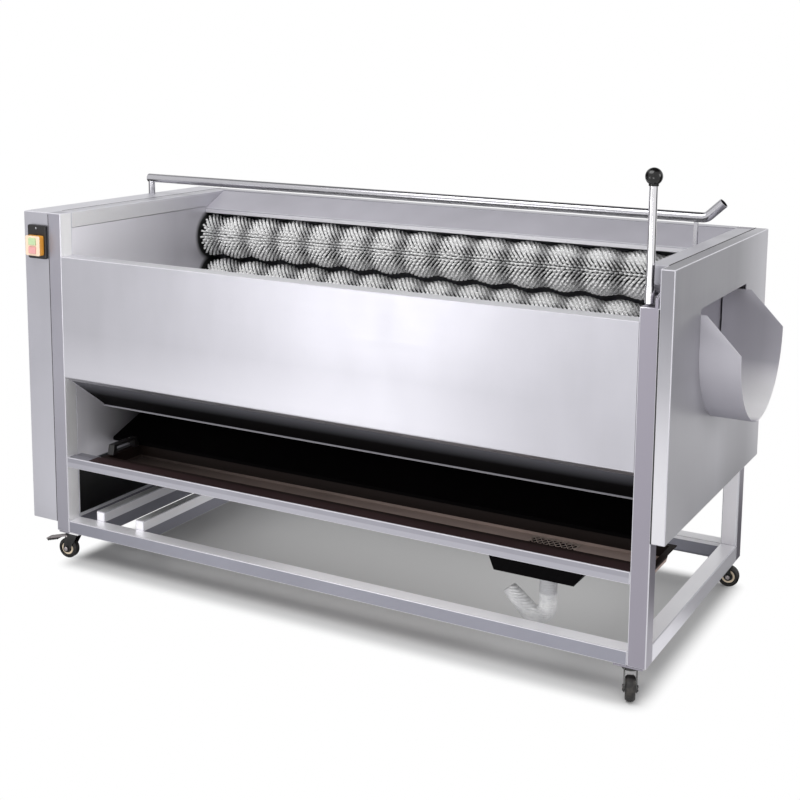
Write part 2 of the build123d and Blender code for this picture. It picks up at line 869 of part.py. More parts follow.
def tray():
    high, low = tray_rail_top, tray_floor()
    x_from, x_to = tray_left + tray_rim, tray_right - tray_rim
    y_from, y_to = tray_front + tray_rim, tray_rear - tray_rim
    body = tapered_pocket(x_from, x_to, y_from, y_to, low - sheet, high, tray_taper)
    body += block(tray_left, tray_right, tray_front, tray_rear, high - sheet, high)
    pocket = tapered_pocket(x_from + sheet, x_to - sheet, y_from + sheet, y_to - sheet, low, high, tray_taper)
    x, y, lip = strainer_x, strainer_y(), strainer_lip
    window = block(x + lip, x + strainer_length - lip, y + lip, y + strainer_width - lip,
                   low - 2 * sheet, low)
    return body - pocket - window


def drain_funnel():
    middle = (tray_front + tray_rear) / 2
    spigot = rod_z(spigot_radius, funnel_low - spigot_length, funnel_low + sheet, drain_x, middle)
    drain = rod_z(spigot_radius - spigot_wall, funnel_low - spigot_length - overrun, funnel_low + 2 * sheet,
                  drain_x, middle)
    return funnel(0, funnel_low) - funnel(sheet, funnel_low + sheet) + spigot - drain


def tray_strainer():
    x, y = strainer_x, strainer_y()
    plate = block(x, x + strainer_length, y, y + strainer_width, tray_floor(),
                  tray_floor() + strainer_thickness)
    step_x = (strainer_length - 2 * strainer_frame) / strainer_columns
    step_y = (strainer_width - 2 * strainer_frame) / strainer_rows
    holes = []
    for column in range(strainer_columns):
        for row in range(strainer_rows):
            centre_x = x + strainer_frame + (column + 1 / 2) * step_x
            centre_y = y + strainer_frame + (row + 1 / 2) * step_y
            holes.append(Pos(centre_x, centre_y, tray_floor() + strainer_thickness / 2)
                         * Box(strainer_hole, strainer_hole, strainer_thickness + overrun))
    return plate.cut(*holes)


def tray_handle():
    middle = (tray_front + tray_rear) / 2
    half, low, high = handle_width / 2, tray_rail_top, tray_rail_top + handle_height
    lean = handle_strap
    outer = [(middle - half, low), (middle - half + lean, high), (middle + half - lean, high),
             (middle + half, low)]
    inner = [(middle + half - handle_foot, low), (middle + half - handle_foot, high - handle_strap),
             (middle - half + handle_foot, high - handle_strap), (middle - half + handle_foot, low)]
    return profile_along_x(outer + inner, tray_left, tray_left + handle_depth)


def drain_elbow():
    # A moulded elbow pushed over the spigot: straight down, round the bend, and up along the arm.
    middle = (tray_front + tray_rear) / 2
    turn = 180 - (90 - hose_arm_angle)
    centre = (drain_x - hose_bend_radius, funnel_low - hose_drop + hose_bend_radius)
    a = radians(-turn)
    bend_end = (centre[0] + hose_bend_radius * cos(a), centre[1] + hose_bend_radius * sin(a))
    arm = radians(180 - hose_arm_angle)
    tip = (bend_end[0] + hose_arm_length * cos(arm), bend_end[1] + hose_arm_length * sin(arm))
    lines = [
        Line((drain_x, funnel_low - seat_gap), (drain_x, centre[1])),
        CenterArc(centre, hose_bend_radius, 0, -turn),
        Line(bend_end, tip),
    ]
    path = Plane.XZ.offset(-middle) * Wire([edge for line in lines for edge in line.edges()])
    start = Plane(path @ 0, z_dir=path % 0)
    body = sweep(start * Circle(hose_radius), path=path)
    for number in range(hose_rib_count):
        z = funnel_low - seat_gap - (number + 1) * hose_rib_pitch
        body += rod_z(hose_rib_radius, z, z + hose_rib_width, drain_x, middle)
    for number in range(hose_rib_count - 1):
        along = path.length - hose_rib_width - number * hose_rib_pitch
        place = Plane(path @ (along / path.length), z_dir=path % (along / path.length))
        body += extrude(place * Circle(hose_rib_radius), hose_rib_width)
    mouth = Plane(path @ 1, z_dir=path % 1)
    socket = extrude(mouth * Circle(hose_socket_radius), -hose_socket_depth)
    return body - sweep(start * Circle(hose_bore_radius), path=path) - socket


# Switch

def box_on_front(x, z, width, height, near, far, corner):
    face = Plane.XZ.offset(near) * Pos(x, z) * RectangleRounded(width, height, corner)
    return extrude(face, far - near)


def cover_centre_z():
    return switch_low + cover_margin + cover_height / 2


def button_places():
    middle = cover_centre_z()
    return {"start_button": middle + button_pitch / 2, "stop_button": middle - button_pitch / 2}


def switch_plate():
    middle = switch_low + switch_height / 2
    return box_on_front(switch_x, middle, switch_width, switch_height, 0, switch_thickness, switch_corner)


def switch_cover():
    front = switch_thickness + cover_thickness
    shell = box_on_front(switch_x, cover_centre_z(), cover_width, cover_height, switch_thickness, front,
                         switch_corner)
    for z in button_places().values():
        shell -= box_on_front(switch_x, z, button_width, button_height, front - button_reach, front + overrun,
                              button_rise / 2)
    return shell


def push_button(z):
    front = switch_thickness + cover_thickness
    return box_on_front(switch_x, z, button_width - 2 * button_gap, button_height - 2 * button_gap,
                        front - button_reach + button_rise + button_gap, front + button_rise, button_rise / 2)


# Casters, each modelled with its trail along +X and then turned to its heading

def axle_z():
    return wheel_radius - caster_height


def caster_wheel():
    half = wheel_width / 2
    rim, hub, tread = wheel_rim_radius, wheel_hub_radius, wheel_radius
    bore = axle_radius + shaft_clearance
    points = [(bore, -half), (hub, -half), (hub, wheel_groove - half), (rim, wheel_groove - half),
              (rim, -half), (tread - wheel_round, -half), (tread, wheel_round - half),
              (tread, half - wheel_round), (tread - wheel_round, half), (rim, half),
              (rim, half - wheel_groove), (hub, half - wheel_groove), (hub, half), (bore, half)]
    face = make_face(Plane.XY * Polyline(*points, close=True))
    return revolve(face, Axis.Y).moved(Pos(caster_trail, 0, axle_z()))


def caster_fork(with_brake):
    crown_top = -caster_plate[2] - crown_gap
    crown_low = crown_top - crown_thickness
    crown = rod_z(crown_radius, crown_low, crown_top, 0, 0)
    crown -= rod_z(kingpin_radius + shaft_clearance, crown_low - overrun, crown_top + overrun, 0, 0)
    inside = wheel_width / 2 + cheek_gap
    top = Pos(0, (crown_top + crown_low) / 2) * Rectangle(2 * (crown_radius - cheek_drop), crown_thickness)
    boss = Pos(caster_trail, axle_z()) * Circle(cheek_boss_radius)
    cheek_face = make_hull(top.edges() + boss.edges()) - Pos(caster_trail, axle_z()) * Circle(
        axle_radius + shaft_clearance)
    if with_brake:
        cheek_face -= Pos(pedal_pin_x, -pedal_pin_drop) * Circle(pedal_pin_radius + shaft_clearance)
    fork = crown
    for side in (-1, 1):
        low = side * inside if side > 0 else -inside - cheek_thickness
        fork += extrude(Plane.XZ.offset(-low - cheek_thickness) * cheek_face, cheek_thickness)
    clear = rod_z(kingpin_head_radius + pocket_clearance, axle_z(), crown_low, 0, 0)
    fork -= clear
    reach = inside + cheek_thickness
    axle = rod_y(axle_radius, -reach, reach, caster_trail, axle_z())
    for side in (-1, 1):
        face = reach if side > 0 else -reach - axle_head_thickness
        axle += rod_y(axle_head_radius, face, face + axle_head_thickness, caster_trail, axle_z())
    return group(fork, axle)


def brake_pedal():
    pin = rod_y(pedal_pin_radius, -wheel_width / 2 - cheek_gap - cheek_thickness,
                wheel_width / 2 + cheek_gap + cheek_thickness, pedal_pin_x, -pedal_pin_drop)
    half = wheel_width / 2 + cheek_gap / 2
    lever = Pos(pedal_pin_x, 0, -pedal_pin_drop) * Rot(0, pedal_angle, 0) * block(
        0, pedal_length, -half, half, -pedal_thickness / 2, pedal_thickness / 2)
    return lever + pin


def placed_caster(shape, corner):
    return shape.moved(Pos(*caster_centre(corner), 0) * Rot(0, 0, caster_headings[corner]))


# All nodes

def all_nodes():
    nodes = {f"{corner}_post": post(corner) for corner in caster_headings}
    nodes.update(
        base_frame=base_frame(), motor_stand=motor_stand(), top_frame=top_frame(), tray_rails=tray_rails(),
        left_wall=left_wall(), right_wall=right_wall(), left_bearings=bearings(-1),
        right_bearings=bearings(1), front_panel=front_panel(), under_panel=under_panel(),
        catch_plate=catch_plate(), rear_panel=rear_panel(), splash_guard=splash_guard(),
        gear_housing=gear_housing(),
        end_cover=end_cover(), chute=chute(), spray_pipe=spray_pipe(), gear_motor=gear_motor(),
        drive_gear=drive_gear(), gate_plate=gate_plate(), gate_lever=gate_lever(), lever_knob=lever_knob(),
        tray=tray(), drain_funnel=drain_funnel(), tray_strainer=tray_strainer(), tray_handle=tray_handle(),
        drain_elbow=drain_elbow(), switch_plate=switch_plate(), switch_cover=switch_cover(),
    )
    nodes.update({name: push_button(z) for name, z in button_places().items()})
    brushes = {1: brush(1), -1: brush(-1)}
    for index in range(roller_count):
        hand = 1 if index % 2 == 0 else -1
        nodes[f"roller_{index + 1}_shaft"] = roller_shaft(index)
        nodes[f"roller_{index + 1}_brush"] = placed_in_train(brushes[hand], brush_turn(index),
                                                            *roller_centre(index))
    for corner in caster_headings:
        nodes[f"{corner}_fork"] = placed_caster(caster_fork(corner == "front_left"), corner)
        nodes[f"{corner}_wheel"] = placed_caster(caster_wheel(), corner)
    nodes["brake_pedal"] = placed_caster(brake_pedal(), "front_left")
    return nodes


os.makedirs("parts", exist_ok=True)
for name, shape in all_nodes().items():
    export_step(shape.moved(to_part), f"parts/{name}.step")
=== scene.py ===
import json
import math

import bpy
import numpy as np
from mathutils import Matrix, Vector


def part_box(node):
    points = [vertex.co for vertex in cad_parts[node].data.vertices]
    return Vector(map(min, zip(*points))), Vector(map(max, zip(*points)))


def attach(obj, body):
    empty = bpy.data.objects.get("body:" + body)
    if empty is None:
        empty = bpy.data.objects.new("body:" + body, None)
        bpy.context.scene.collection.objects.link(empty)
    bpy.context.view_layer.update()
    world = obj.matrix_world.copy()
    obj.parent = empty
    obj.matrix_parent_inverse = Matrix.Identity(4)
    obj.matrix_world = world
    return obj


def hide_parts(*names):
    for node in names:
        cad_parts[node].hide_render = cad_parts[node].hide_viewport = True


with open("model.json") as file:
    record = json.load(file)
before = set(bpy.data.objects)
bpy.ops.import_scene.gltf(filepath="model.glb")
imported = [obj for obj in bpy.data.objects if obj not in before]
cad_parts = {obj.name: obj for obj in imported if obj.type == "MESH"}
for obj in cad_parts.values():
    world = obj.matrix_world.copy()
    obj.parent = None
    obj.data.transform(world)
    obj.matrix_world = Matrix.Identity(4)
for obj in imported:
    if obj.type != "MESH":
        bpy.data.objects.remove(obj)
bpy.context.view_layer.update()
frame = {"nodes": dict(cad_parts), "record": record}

scene = bpy.context.scene
nodes = frame["nodes"]
nodeBody = {name: body for body, names in frame["record"]["behaviour"]["bodies"].items() for name in names}
print("frame loaded:", len(nodes), "nodes")

# machine millimetres, from the outside of the left posts, the front face and the underside of the frame
machine = {"startX": 767.5, "startY": 322.5, "underside": 70.0, "length": 1500.0, "depth": 670.0,
           "height": 780.0}


def spot(x, y, z):
    return Vector((x - machine["startX"], y - machine["startY"], z + machine["underside"])) / 1000


def mm(value):
    return value / 1000


def clearAll():
    bpy.ops.object.select_all(action="DESELECT")


def makeActive(obj):
    clearAll()
    obj.select_set(True)
    bpy.context.view_layer.objects.active = obj


def newest(name):
    obj = bpy.context.object
    obj.name = obj.data.name = name
    return obj


def freeze(obj):
    makeActive(obj)
    bpy.ops.object.transform_apply(location=True, rotation=True, scale=True)
    return obj


def startRod(name, sides, radius, length, centre, axis="Z"):
    clearAll()
    turns = {"X": (0, math.pi / 2, 0), "Y": (math.pi / 2, 0, 0), "Z": (0, 0, 0)}
    bpy.ops.mesh.primitive_cylinder_add(vertices=sides, radius=radius, depth=length, location=centre,
                                        rotation=turns[axis])
    return freeze(newest(name))


def startBox(name, low, high):
    clearAll()
    bpy.ops.mesh.primitive_cube_add(size=1, location=(low + high) / 2, scale=high - low)
    return freeze(newest(name))


def openEdit(obj, kind="FACE"):
    makeActive(obj)
    bpy.context.tool_settings.mesh_select_mode = (False, kind == "EDGE", kind == "FACE")
    bpy.ops.object.mode_set(mode="EDIT")


def openWhole(obj):
    openEdit(obj)
    bpy.ops.mesh.select_all(action="SELECT")


def closeEdit():
    bpy.ops.object.mode_set(mode="OBJECT")


facing = 0.9  # how squarely a picked face looks along an axis, 1 for exactly


def pickParts(obj, kind, test):
    # selects the faces or edges that pass the test, and opens edit mode on them
    clearAll()
    mesh = obj.data
    for item in list(mesh.vertices) + list(mesh.edges) + list(mesh.polygons):
        item.select = False
    for item in mesh.polygons if kind == "FACE" else mesh.edges:
        item.select = bool(test(item))
    openEdit(obj, kind)


def facesByEdge(mesh):
    beside = {}
    for face in mesh.polygons:
        for key in face.edge_keys:
            beside.setdefault(key, []).append(face.index)
    return beside


def modify(obj, kind, **settings):
    makeActive(obj)
    modifier = obj.modifiers.new(kind.title(), kind)
    for key, value in settings.items():
        setattr(modifier, key, value)
    bpy.ops.object.modifier_apply(modifier=modifier.name)


def smooth(obj, angle=40):
    makeActive(obj)
    bpy.ops.object.shade_smooth_by_angle(angle=math.radians(angle))


def moveMesh(obj, move):
    obj.data.transform(Matrix.Translation(Vector(move)))


def copyPiece(obj, name, move=(0, 0, 0)):
    other = obj.copy()
    other.data = obj.data.copy()
    other.name = other.data.name = name
    scene.collection.objects.link(other)
    moveMesh(other, move)
    return other


def joinPieces(pieces, name):
    makeActive(pieces[0])
    for other in pieces[1:]:
        other.select_set(True)
    bpy.ops.object.join()
    pieces[0].name = pieces[0].data.name = name
    return pieces[0]


def settle(obj, body, material, replaces=()):
    freeze(obj)
    if obj.data.materials:
        obj.data.materials[0] = material
    else:
        obj.data.materials.append(material)
    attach(obj, body)
    if replaces:
        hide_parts(*replaces)
    return obj


class Wire:
    # one output socket; sums on wires become Math nodes
    def __init__(self, finish, socket):
        self.finish, self.socket = finish, socket

    def of(self, name):
        return Wire(self.finish, self.socket.node.outputs[name])

    def __add__(self, other): return self.finish.maths("ADD", self, other)
    def __radd__(self, other): return self.finish.maths("ADD", other, self)
    def __sub__(self, other): return self.finish.maths("SUBTRACT", self, other)
    def __rsub__(self, other): return self.finish.maths("SUBTRACT", other, self)
    def __mul__(self, other): return self.finish.maths("MULTIPLY", self, other)
    def __rmul__(self, other): return self.finish.maths("MULTIPLY", other, self)
    def __pow__(self, other): return self.finish.maths("POWER", self, other)


class Finish:
    def __init__(self, name, tree=None):
        self.material = None
        if tree is None:
            self.material = bpy.data.materials.new(name)
            self.material.use_nodes = True
            tree = self.material.node_tree
        self.tree = tree
        self.tree.nodes.clear()

    def node(self, kind, settings=None, values=None, out=0):
        made = self.tree.nodes.new("ShaderNode" + kind)
        for key, value in (settings or {}).items():
            if key == "stops":
                ramp = made.color_ramp
                while len(ramp.elements) < len(value):
                    ramp.elements.new(0.5)
                for element, (place, colour) in zip(ramp.elements, value):
                    element.position, element.color = place, colour
            else:
                setattr(made, key, value)
        for key, value in (values or {}).items():
            if isinstance(value, Wire):
                self.tree.links.new(value.socket, made.inputs[key])
            else:
                made.inputs[key].default_value = value
        return Wire(self, made.outputs[out]) if len(made.outputs) else None

    def maths(self, operation, *numbers):
        return self.node("Math", {"operation": operation}, dict(enumerate(numbers)))

    def axis(self, vector, name):
        return self.node("SeparateXYZ", {}, {"Vector": vector}, out=name)

    def place(self):
        return self.node("TexCoord").of("Object")

    def coords(self, stretch=(1, 1, 1)):
        return self.node("Mapping", {}, {"Vector": self.place(), "Scale": stretch})

    def noise(self, vector, scale, detail=2.0, rough=0.5):
        return self.node("TexNoise", {}, {"Vector": vector, "Scale": scale, "Detail": detail,
                                          "Roughness": rough})

    def span(self, value, low, high, toLow=0.0, toHigh=1.0):
        return self.node("MapRange", {"clamp": True}, {"Value": value, "From Min": low, "From Max": high,
                                                       "To Min": toLow, "To Max": toHigh})

    def blend(self, fac, first, second):
        return self.node("Mix", {"data_type": "RGBA"}, {0: fac, 6: first, 7: second}, out=2)

    def bump(self, height, strength, distance):
        return self.node("Bump", {}, {"Height": height, "Strength": strength, "Distance": distance})

    def zone(self, steps):
        # product of ramps, each (axis, machine mm where it starts, machine mm where it is full);
        # in place of an axis, a point on a roller's axle, with the two radii
        place = self.place()
        whole = 1.0
        for axis, start, full in steps:
            if isinstance(axis, Vector):
                away = [self.axis(place, name) - middle for name, middle in (("Y", axis.y), ("Z", axis.z))]
                measure = (away[0] * away[0] + away[1] * away[1]) ** 0.5
                first, last = mm(start), mm(full)
            else:
                measure = self.axis(place, axis)
                first, last = (spot(v, v, v)["XYZ".index(axis)] for v in (start, full))
            if last > first:
                whole = whole * self.span(measure, first, last)
            else:
                whole = whole * self.span(measure, last, first, toLow=1.0, toHigh=0.0)
        return whole

    def addZones(self, base, zones):
        # zones: other colours that come in between machine measures, each as (steps, colour)
        for steps, colour in zones:
            base = self.blend(self.zone(steps), base, colour)
        return base

    def surface(self, shader, kind="OutputMaterial"):
        self.node(kind, {}, {"Surface": shader})
        return self.material

    def principled(self, values):
        return self.surface(self.node("BsdfPrincipled", {}, values))

    def seenRays(self):
        # what the camera looks at, and what gloss and glass look at, against what only lights the object
        ray = self.node("LightPath")
        return ray.of("Is Camera Ray"), self.maths("MAXIMUM", ray.of("Is Glossy Ray"),
                                                   ray.of("Is Transmission Ray"))


def tone(red, green, blue):
    # screen values 0-255 to the linear numbers that the sockets take
    def linear(value):
        value = value / 255
        return value / 12.92 if value <= 0.04045 else ((value + 0.055) / 1.055) ** 2.4
    return (linear(red), linear(green), linear(blue), 1.0)


def scaled(colour, share):
    return tuple(min(1, c * share) for c in colour[:3]) + (1,)


def swing(noise, amount):
    # noise about its middle, as a change up or down
    return (noise - 0.5) * amount


steelGrain = {"across": 900.0, "along": 3, "grainShare": 0.10, "cloudShare": 0.5, "smearShare": 0.25,
              "darkest": 0.92, "lightest": 1.05}


def brushedSteel(name, colour, along="x", rough=0.38, metallic=0.7, zones=(), bend=1.6):
    finish = Finish(name)
    stretch = tuple(steelGrain["along"] if axis == along else steelGrain["across"] for axis in "xyz")
    grain = finish.noise(finish.coords(stretch), scale=1.0, detail=3.0, rough=0.6)
    cloud = finish.noise(finish.coords(), scale=2.6, detail=4.0, rough=0.55)
    smear = finish.noise(finish.coords(stretch=(1.0, 1.0, 0.35)), scale=14.0, detail=3.0)
    shade = (grain * steelGrain["grainShare"] + cloud * steelGrain["cloudShare"]
             + smear * steelGrain["smearShare"])
    base = finish.blend(finish.span(shade, low=0.3, high=0.55), scaled(colour, steelGrain["darkest"]),
                        scaled(colour, steelGrain["lightest"]))
    return finish.principled({
        "Base Color": finish.addZones(base, zones), "Metallic": metallic, "IOR": bend,
        "Roughness": rough + swing(grain, amount=0.14) + swing(smear, amount=0.12),
        "Normal": finish.bump(grain, strength=0.06, distance=0.0004)})


def polishedSteel(name, colour, rough=0.14):
    finish = Finish(name)
    grain = finish.noise(finish.coords(stretch=(4, 500, 500)), scale=1.0, detail=3.0)
    marks = finish.noise(finish.coords(), scale=45.0, detail=3.0)
    return finish.principled({
        "Base Color": finish.blend(finish.span(marks, low=0.3, high=0.7), scaled(colour, share=0.96), colour),
        "Roughness": rough + swing(marks, amount=0.04) + swing(grain, amount=0.03), "Metallic": 1.0,
        "Normal": finish.bump(grain, strength=0.015, distance=0.0002)})


def paintedMetal(name, colour, rough=0.42, coat=0.15, wear=0.2):
    finish = Finish(name)
    peel = finish.noise(finish.coords(), scale=700.0)
    cloud = finish.noise(finish.coords(), scale=22.0, detail=4.0)
    dust = 0.02
    worn = tuple(c * (1 - wear) + dust * wear for c in colour[:3]) + (1,)
    return finish.principled({
        "Base Color": finish.blend(finish.span(cloud, low=0.35, high=0.7), colour, worn),
        "Roughness": rough + swing(cloud, amount=0.2), "Metallic": 0.0, "Coat Weight": coat,
        "Coat Roughness": 0.2, "Normal": finish.bump(peel, strength=0.12, distance=0.0002)})


def mouldedPlastic(name, colour, rough=0.38, fleck=0.08, zones=()):
    finish = Finish(name)
    grain = finish.noise(finish.coords(), scale=1600.0)
    cloud = finish.noise(finish.coords(), scale=60.0, detail=3.0)
    base = finish.blend(finish.span(cloud, low=0.35, high=0.65), colour, scaled(colour, share=1 - fleck))
    return finish.principled({
        "Base Color": finish.addZones(base, zones), "Roughness": rough + swing(cloud, amount=0.12),
        "Metallic": 0.0, "IOR": 1.49, "Normal": finish.bump(grain, strength=0.10, distance=0.00015)})


def trayFinish(name, wall, floor, floorHigh):
    finish = Finish(name)
    wet = finish.noise(finish.coords(stretch=(1.0, 2.2, 1.0)), scale=5.0, detail=5.0, rough=0.6)
    fine = finish.noise(finish.coords(stretch=(3, 300, 300)), scale=1.0, detail=3.0)
    wetShare = finish.span(wet, low=0.35, high=0.7)
    wetWall = finish.blend(wetShare, wall, scaled(wall, share=1.35))
    wetFloor = finish.blend(wetShare, floor, scaled(floor, share=1.3))
    wetFloor = finish.addZones(wetFloor, [([("X", 1000, 60)], tone(42, 36, 34))])  # painted shade, darker under the drive
    return finish.principled({
        "Base Color": finish.addZones(wetWall, [([("Z", floorHigh + 1.5, floorHigh + 0.5)], wetFloor)]),
        "Roughness": 0.5 + swing(wet, amount=0.3), "Metallic": 0.05, "IOR": 1.22,
        "Normal": finish.bump(fine, strength=0.06, distance=0.0003)})


# bristle colours with painted shade: dark at the roots, darker at the waists between bulges and in the grooves
# between threads
bristle = {"threads": 5.0, "root": tone(6, 6, 7), "low": tone(150, 150, 154), "tip": tone(255, 255, 255),
           "waist": tone(84, 84, 88), "waistShare": 0.5, "groove": tone(120, 120, 126), "grooveShare": 0.06}


def bristleFinish():
    # reach runs from the core to the tip, strand round a tuft, swell from a waist to a bulge
    finish = Finish("bristleNylon")
    reach, strand, swell = (finish.node("Attribute", {"attribute_name": name}, out="Fac")
                            for name in ("reach", "strand", "swell"))
    # 0 in a groove between two threads, 1 on a thread
    thread = finish.maths("PINGPONG", finish.maths("FRACT", strand * bristle["threads"]), 0.5) * 2.0
    base = finish.node("ValToRGB", {"stops": [(0.0, bristle["root"]), (0.08, bristle["low"]),
                                              (0.2, bristle["tip"]), (0.4, bristle["tip"])]}, {"Fac": reach})
    base = finish.blend(finish.span(swell, low=0.0, high=0.45, toLow=bristle["waistShare"], toHigh=0.0), base,
                        bristle["waist"])
    base = finish.blend(finish.span(thread, low=0.0, high=0.5, toLow=bristle["grooveShare"], toHigh=0.0), base,
                        bristle["groove"])
    return finish.principled({
        "Base Color": base, "Roughness": 0.5, "Metallic": 0.0, "IOR": 1.53,
        "Normal": finish.bump(thread, strength=0.25, distance=0.0004)})


def hoseFinish():
    finish = Finish("hoseWhite")
    cloud = finish.noise(finish.coords(), scale=55.0, detail=4.0)
    wrap = finish.node("TexWave", {"bands_direction": "Z"}, {"Vector": finish.coords(), "Scale": 60.0,
                                                           "Distortion": 3.0, "Detail": 2.0})
    base = finish.blend(finish.span(cloud, low=0.3, high=0.7), tone(252, 252, 252), tone(222, 222, 224))
    upperCollar = ([("Z", 62, 67), ("X", 1222, 1230)], tone(196, 196, 199))
    return finish.principled({
        "Base Color": finish.addZones(base, [upperCollar]), "Roughness": 0.55 + swing(cloud, amount=0.2),
        "Metallic": 0.0, "Normal": finish.bump(wrap, strength=0.55, distance=0.0016)})


def rubberFinish(name, colour):
    finish = Finish(name)
    grain = finish.noise(finish.coords(), scale=900.0)
    dust = finish.noise(finish.coords(), scale=90.0, detail=4.0)
    return finish.principled({
        "Base Color": finish.blend(finish.span(dust, low=0.5, high=0.75), colour, tone(58, 54, 50)),
        "Roughness": 0.55 + swing(dust, amount=0.25), "Metallic": 0.0,
        "Normal": finish.bump(grain, strength=0.2, distance=0.0003)})


trayHigh = 1000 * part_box("tray")[1].z - machine["underside"]
axles = [sum(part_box(f"roller_{number}_shaft"), Vector()) / 2 for number in (1, 2)]  # the two rear rollers
bay = {"panelLow": 388.0, "slopeLow": 291.0, "wallFront": 75.0, "wallDeep": 262.0, "railTop": 52.6,
       "railLow": 29.6}
rimZ, endX = machine["height"], machine["length"]
# colours for painted light and shade: a near-black and a dark grey for painted shade, a white for painted
# light on faces in shade
paintedShadeBlack, deepShade, paintedLightWhite = tone(7, 6, 7), tone(78, 77, 82), tone(255, 254, 255)

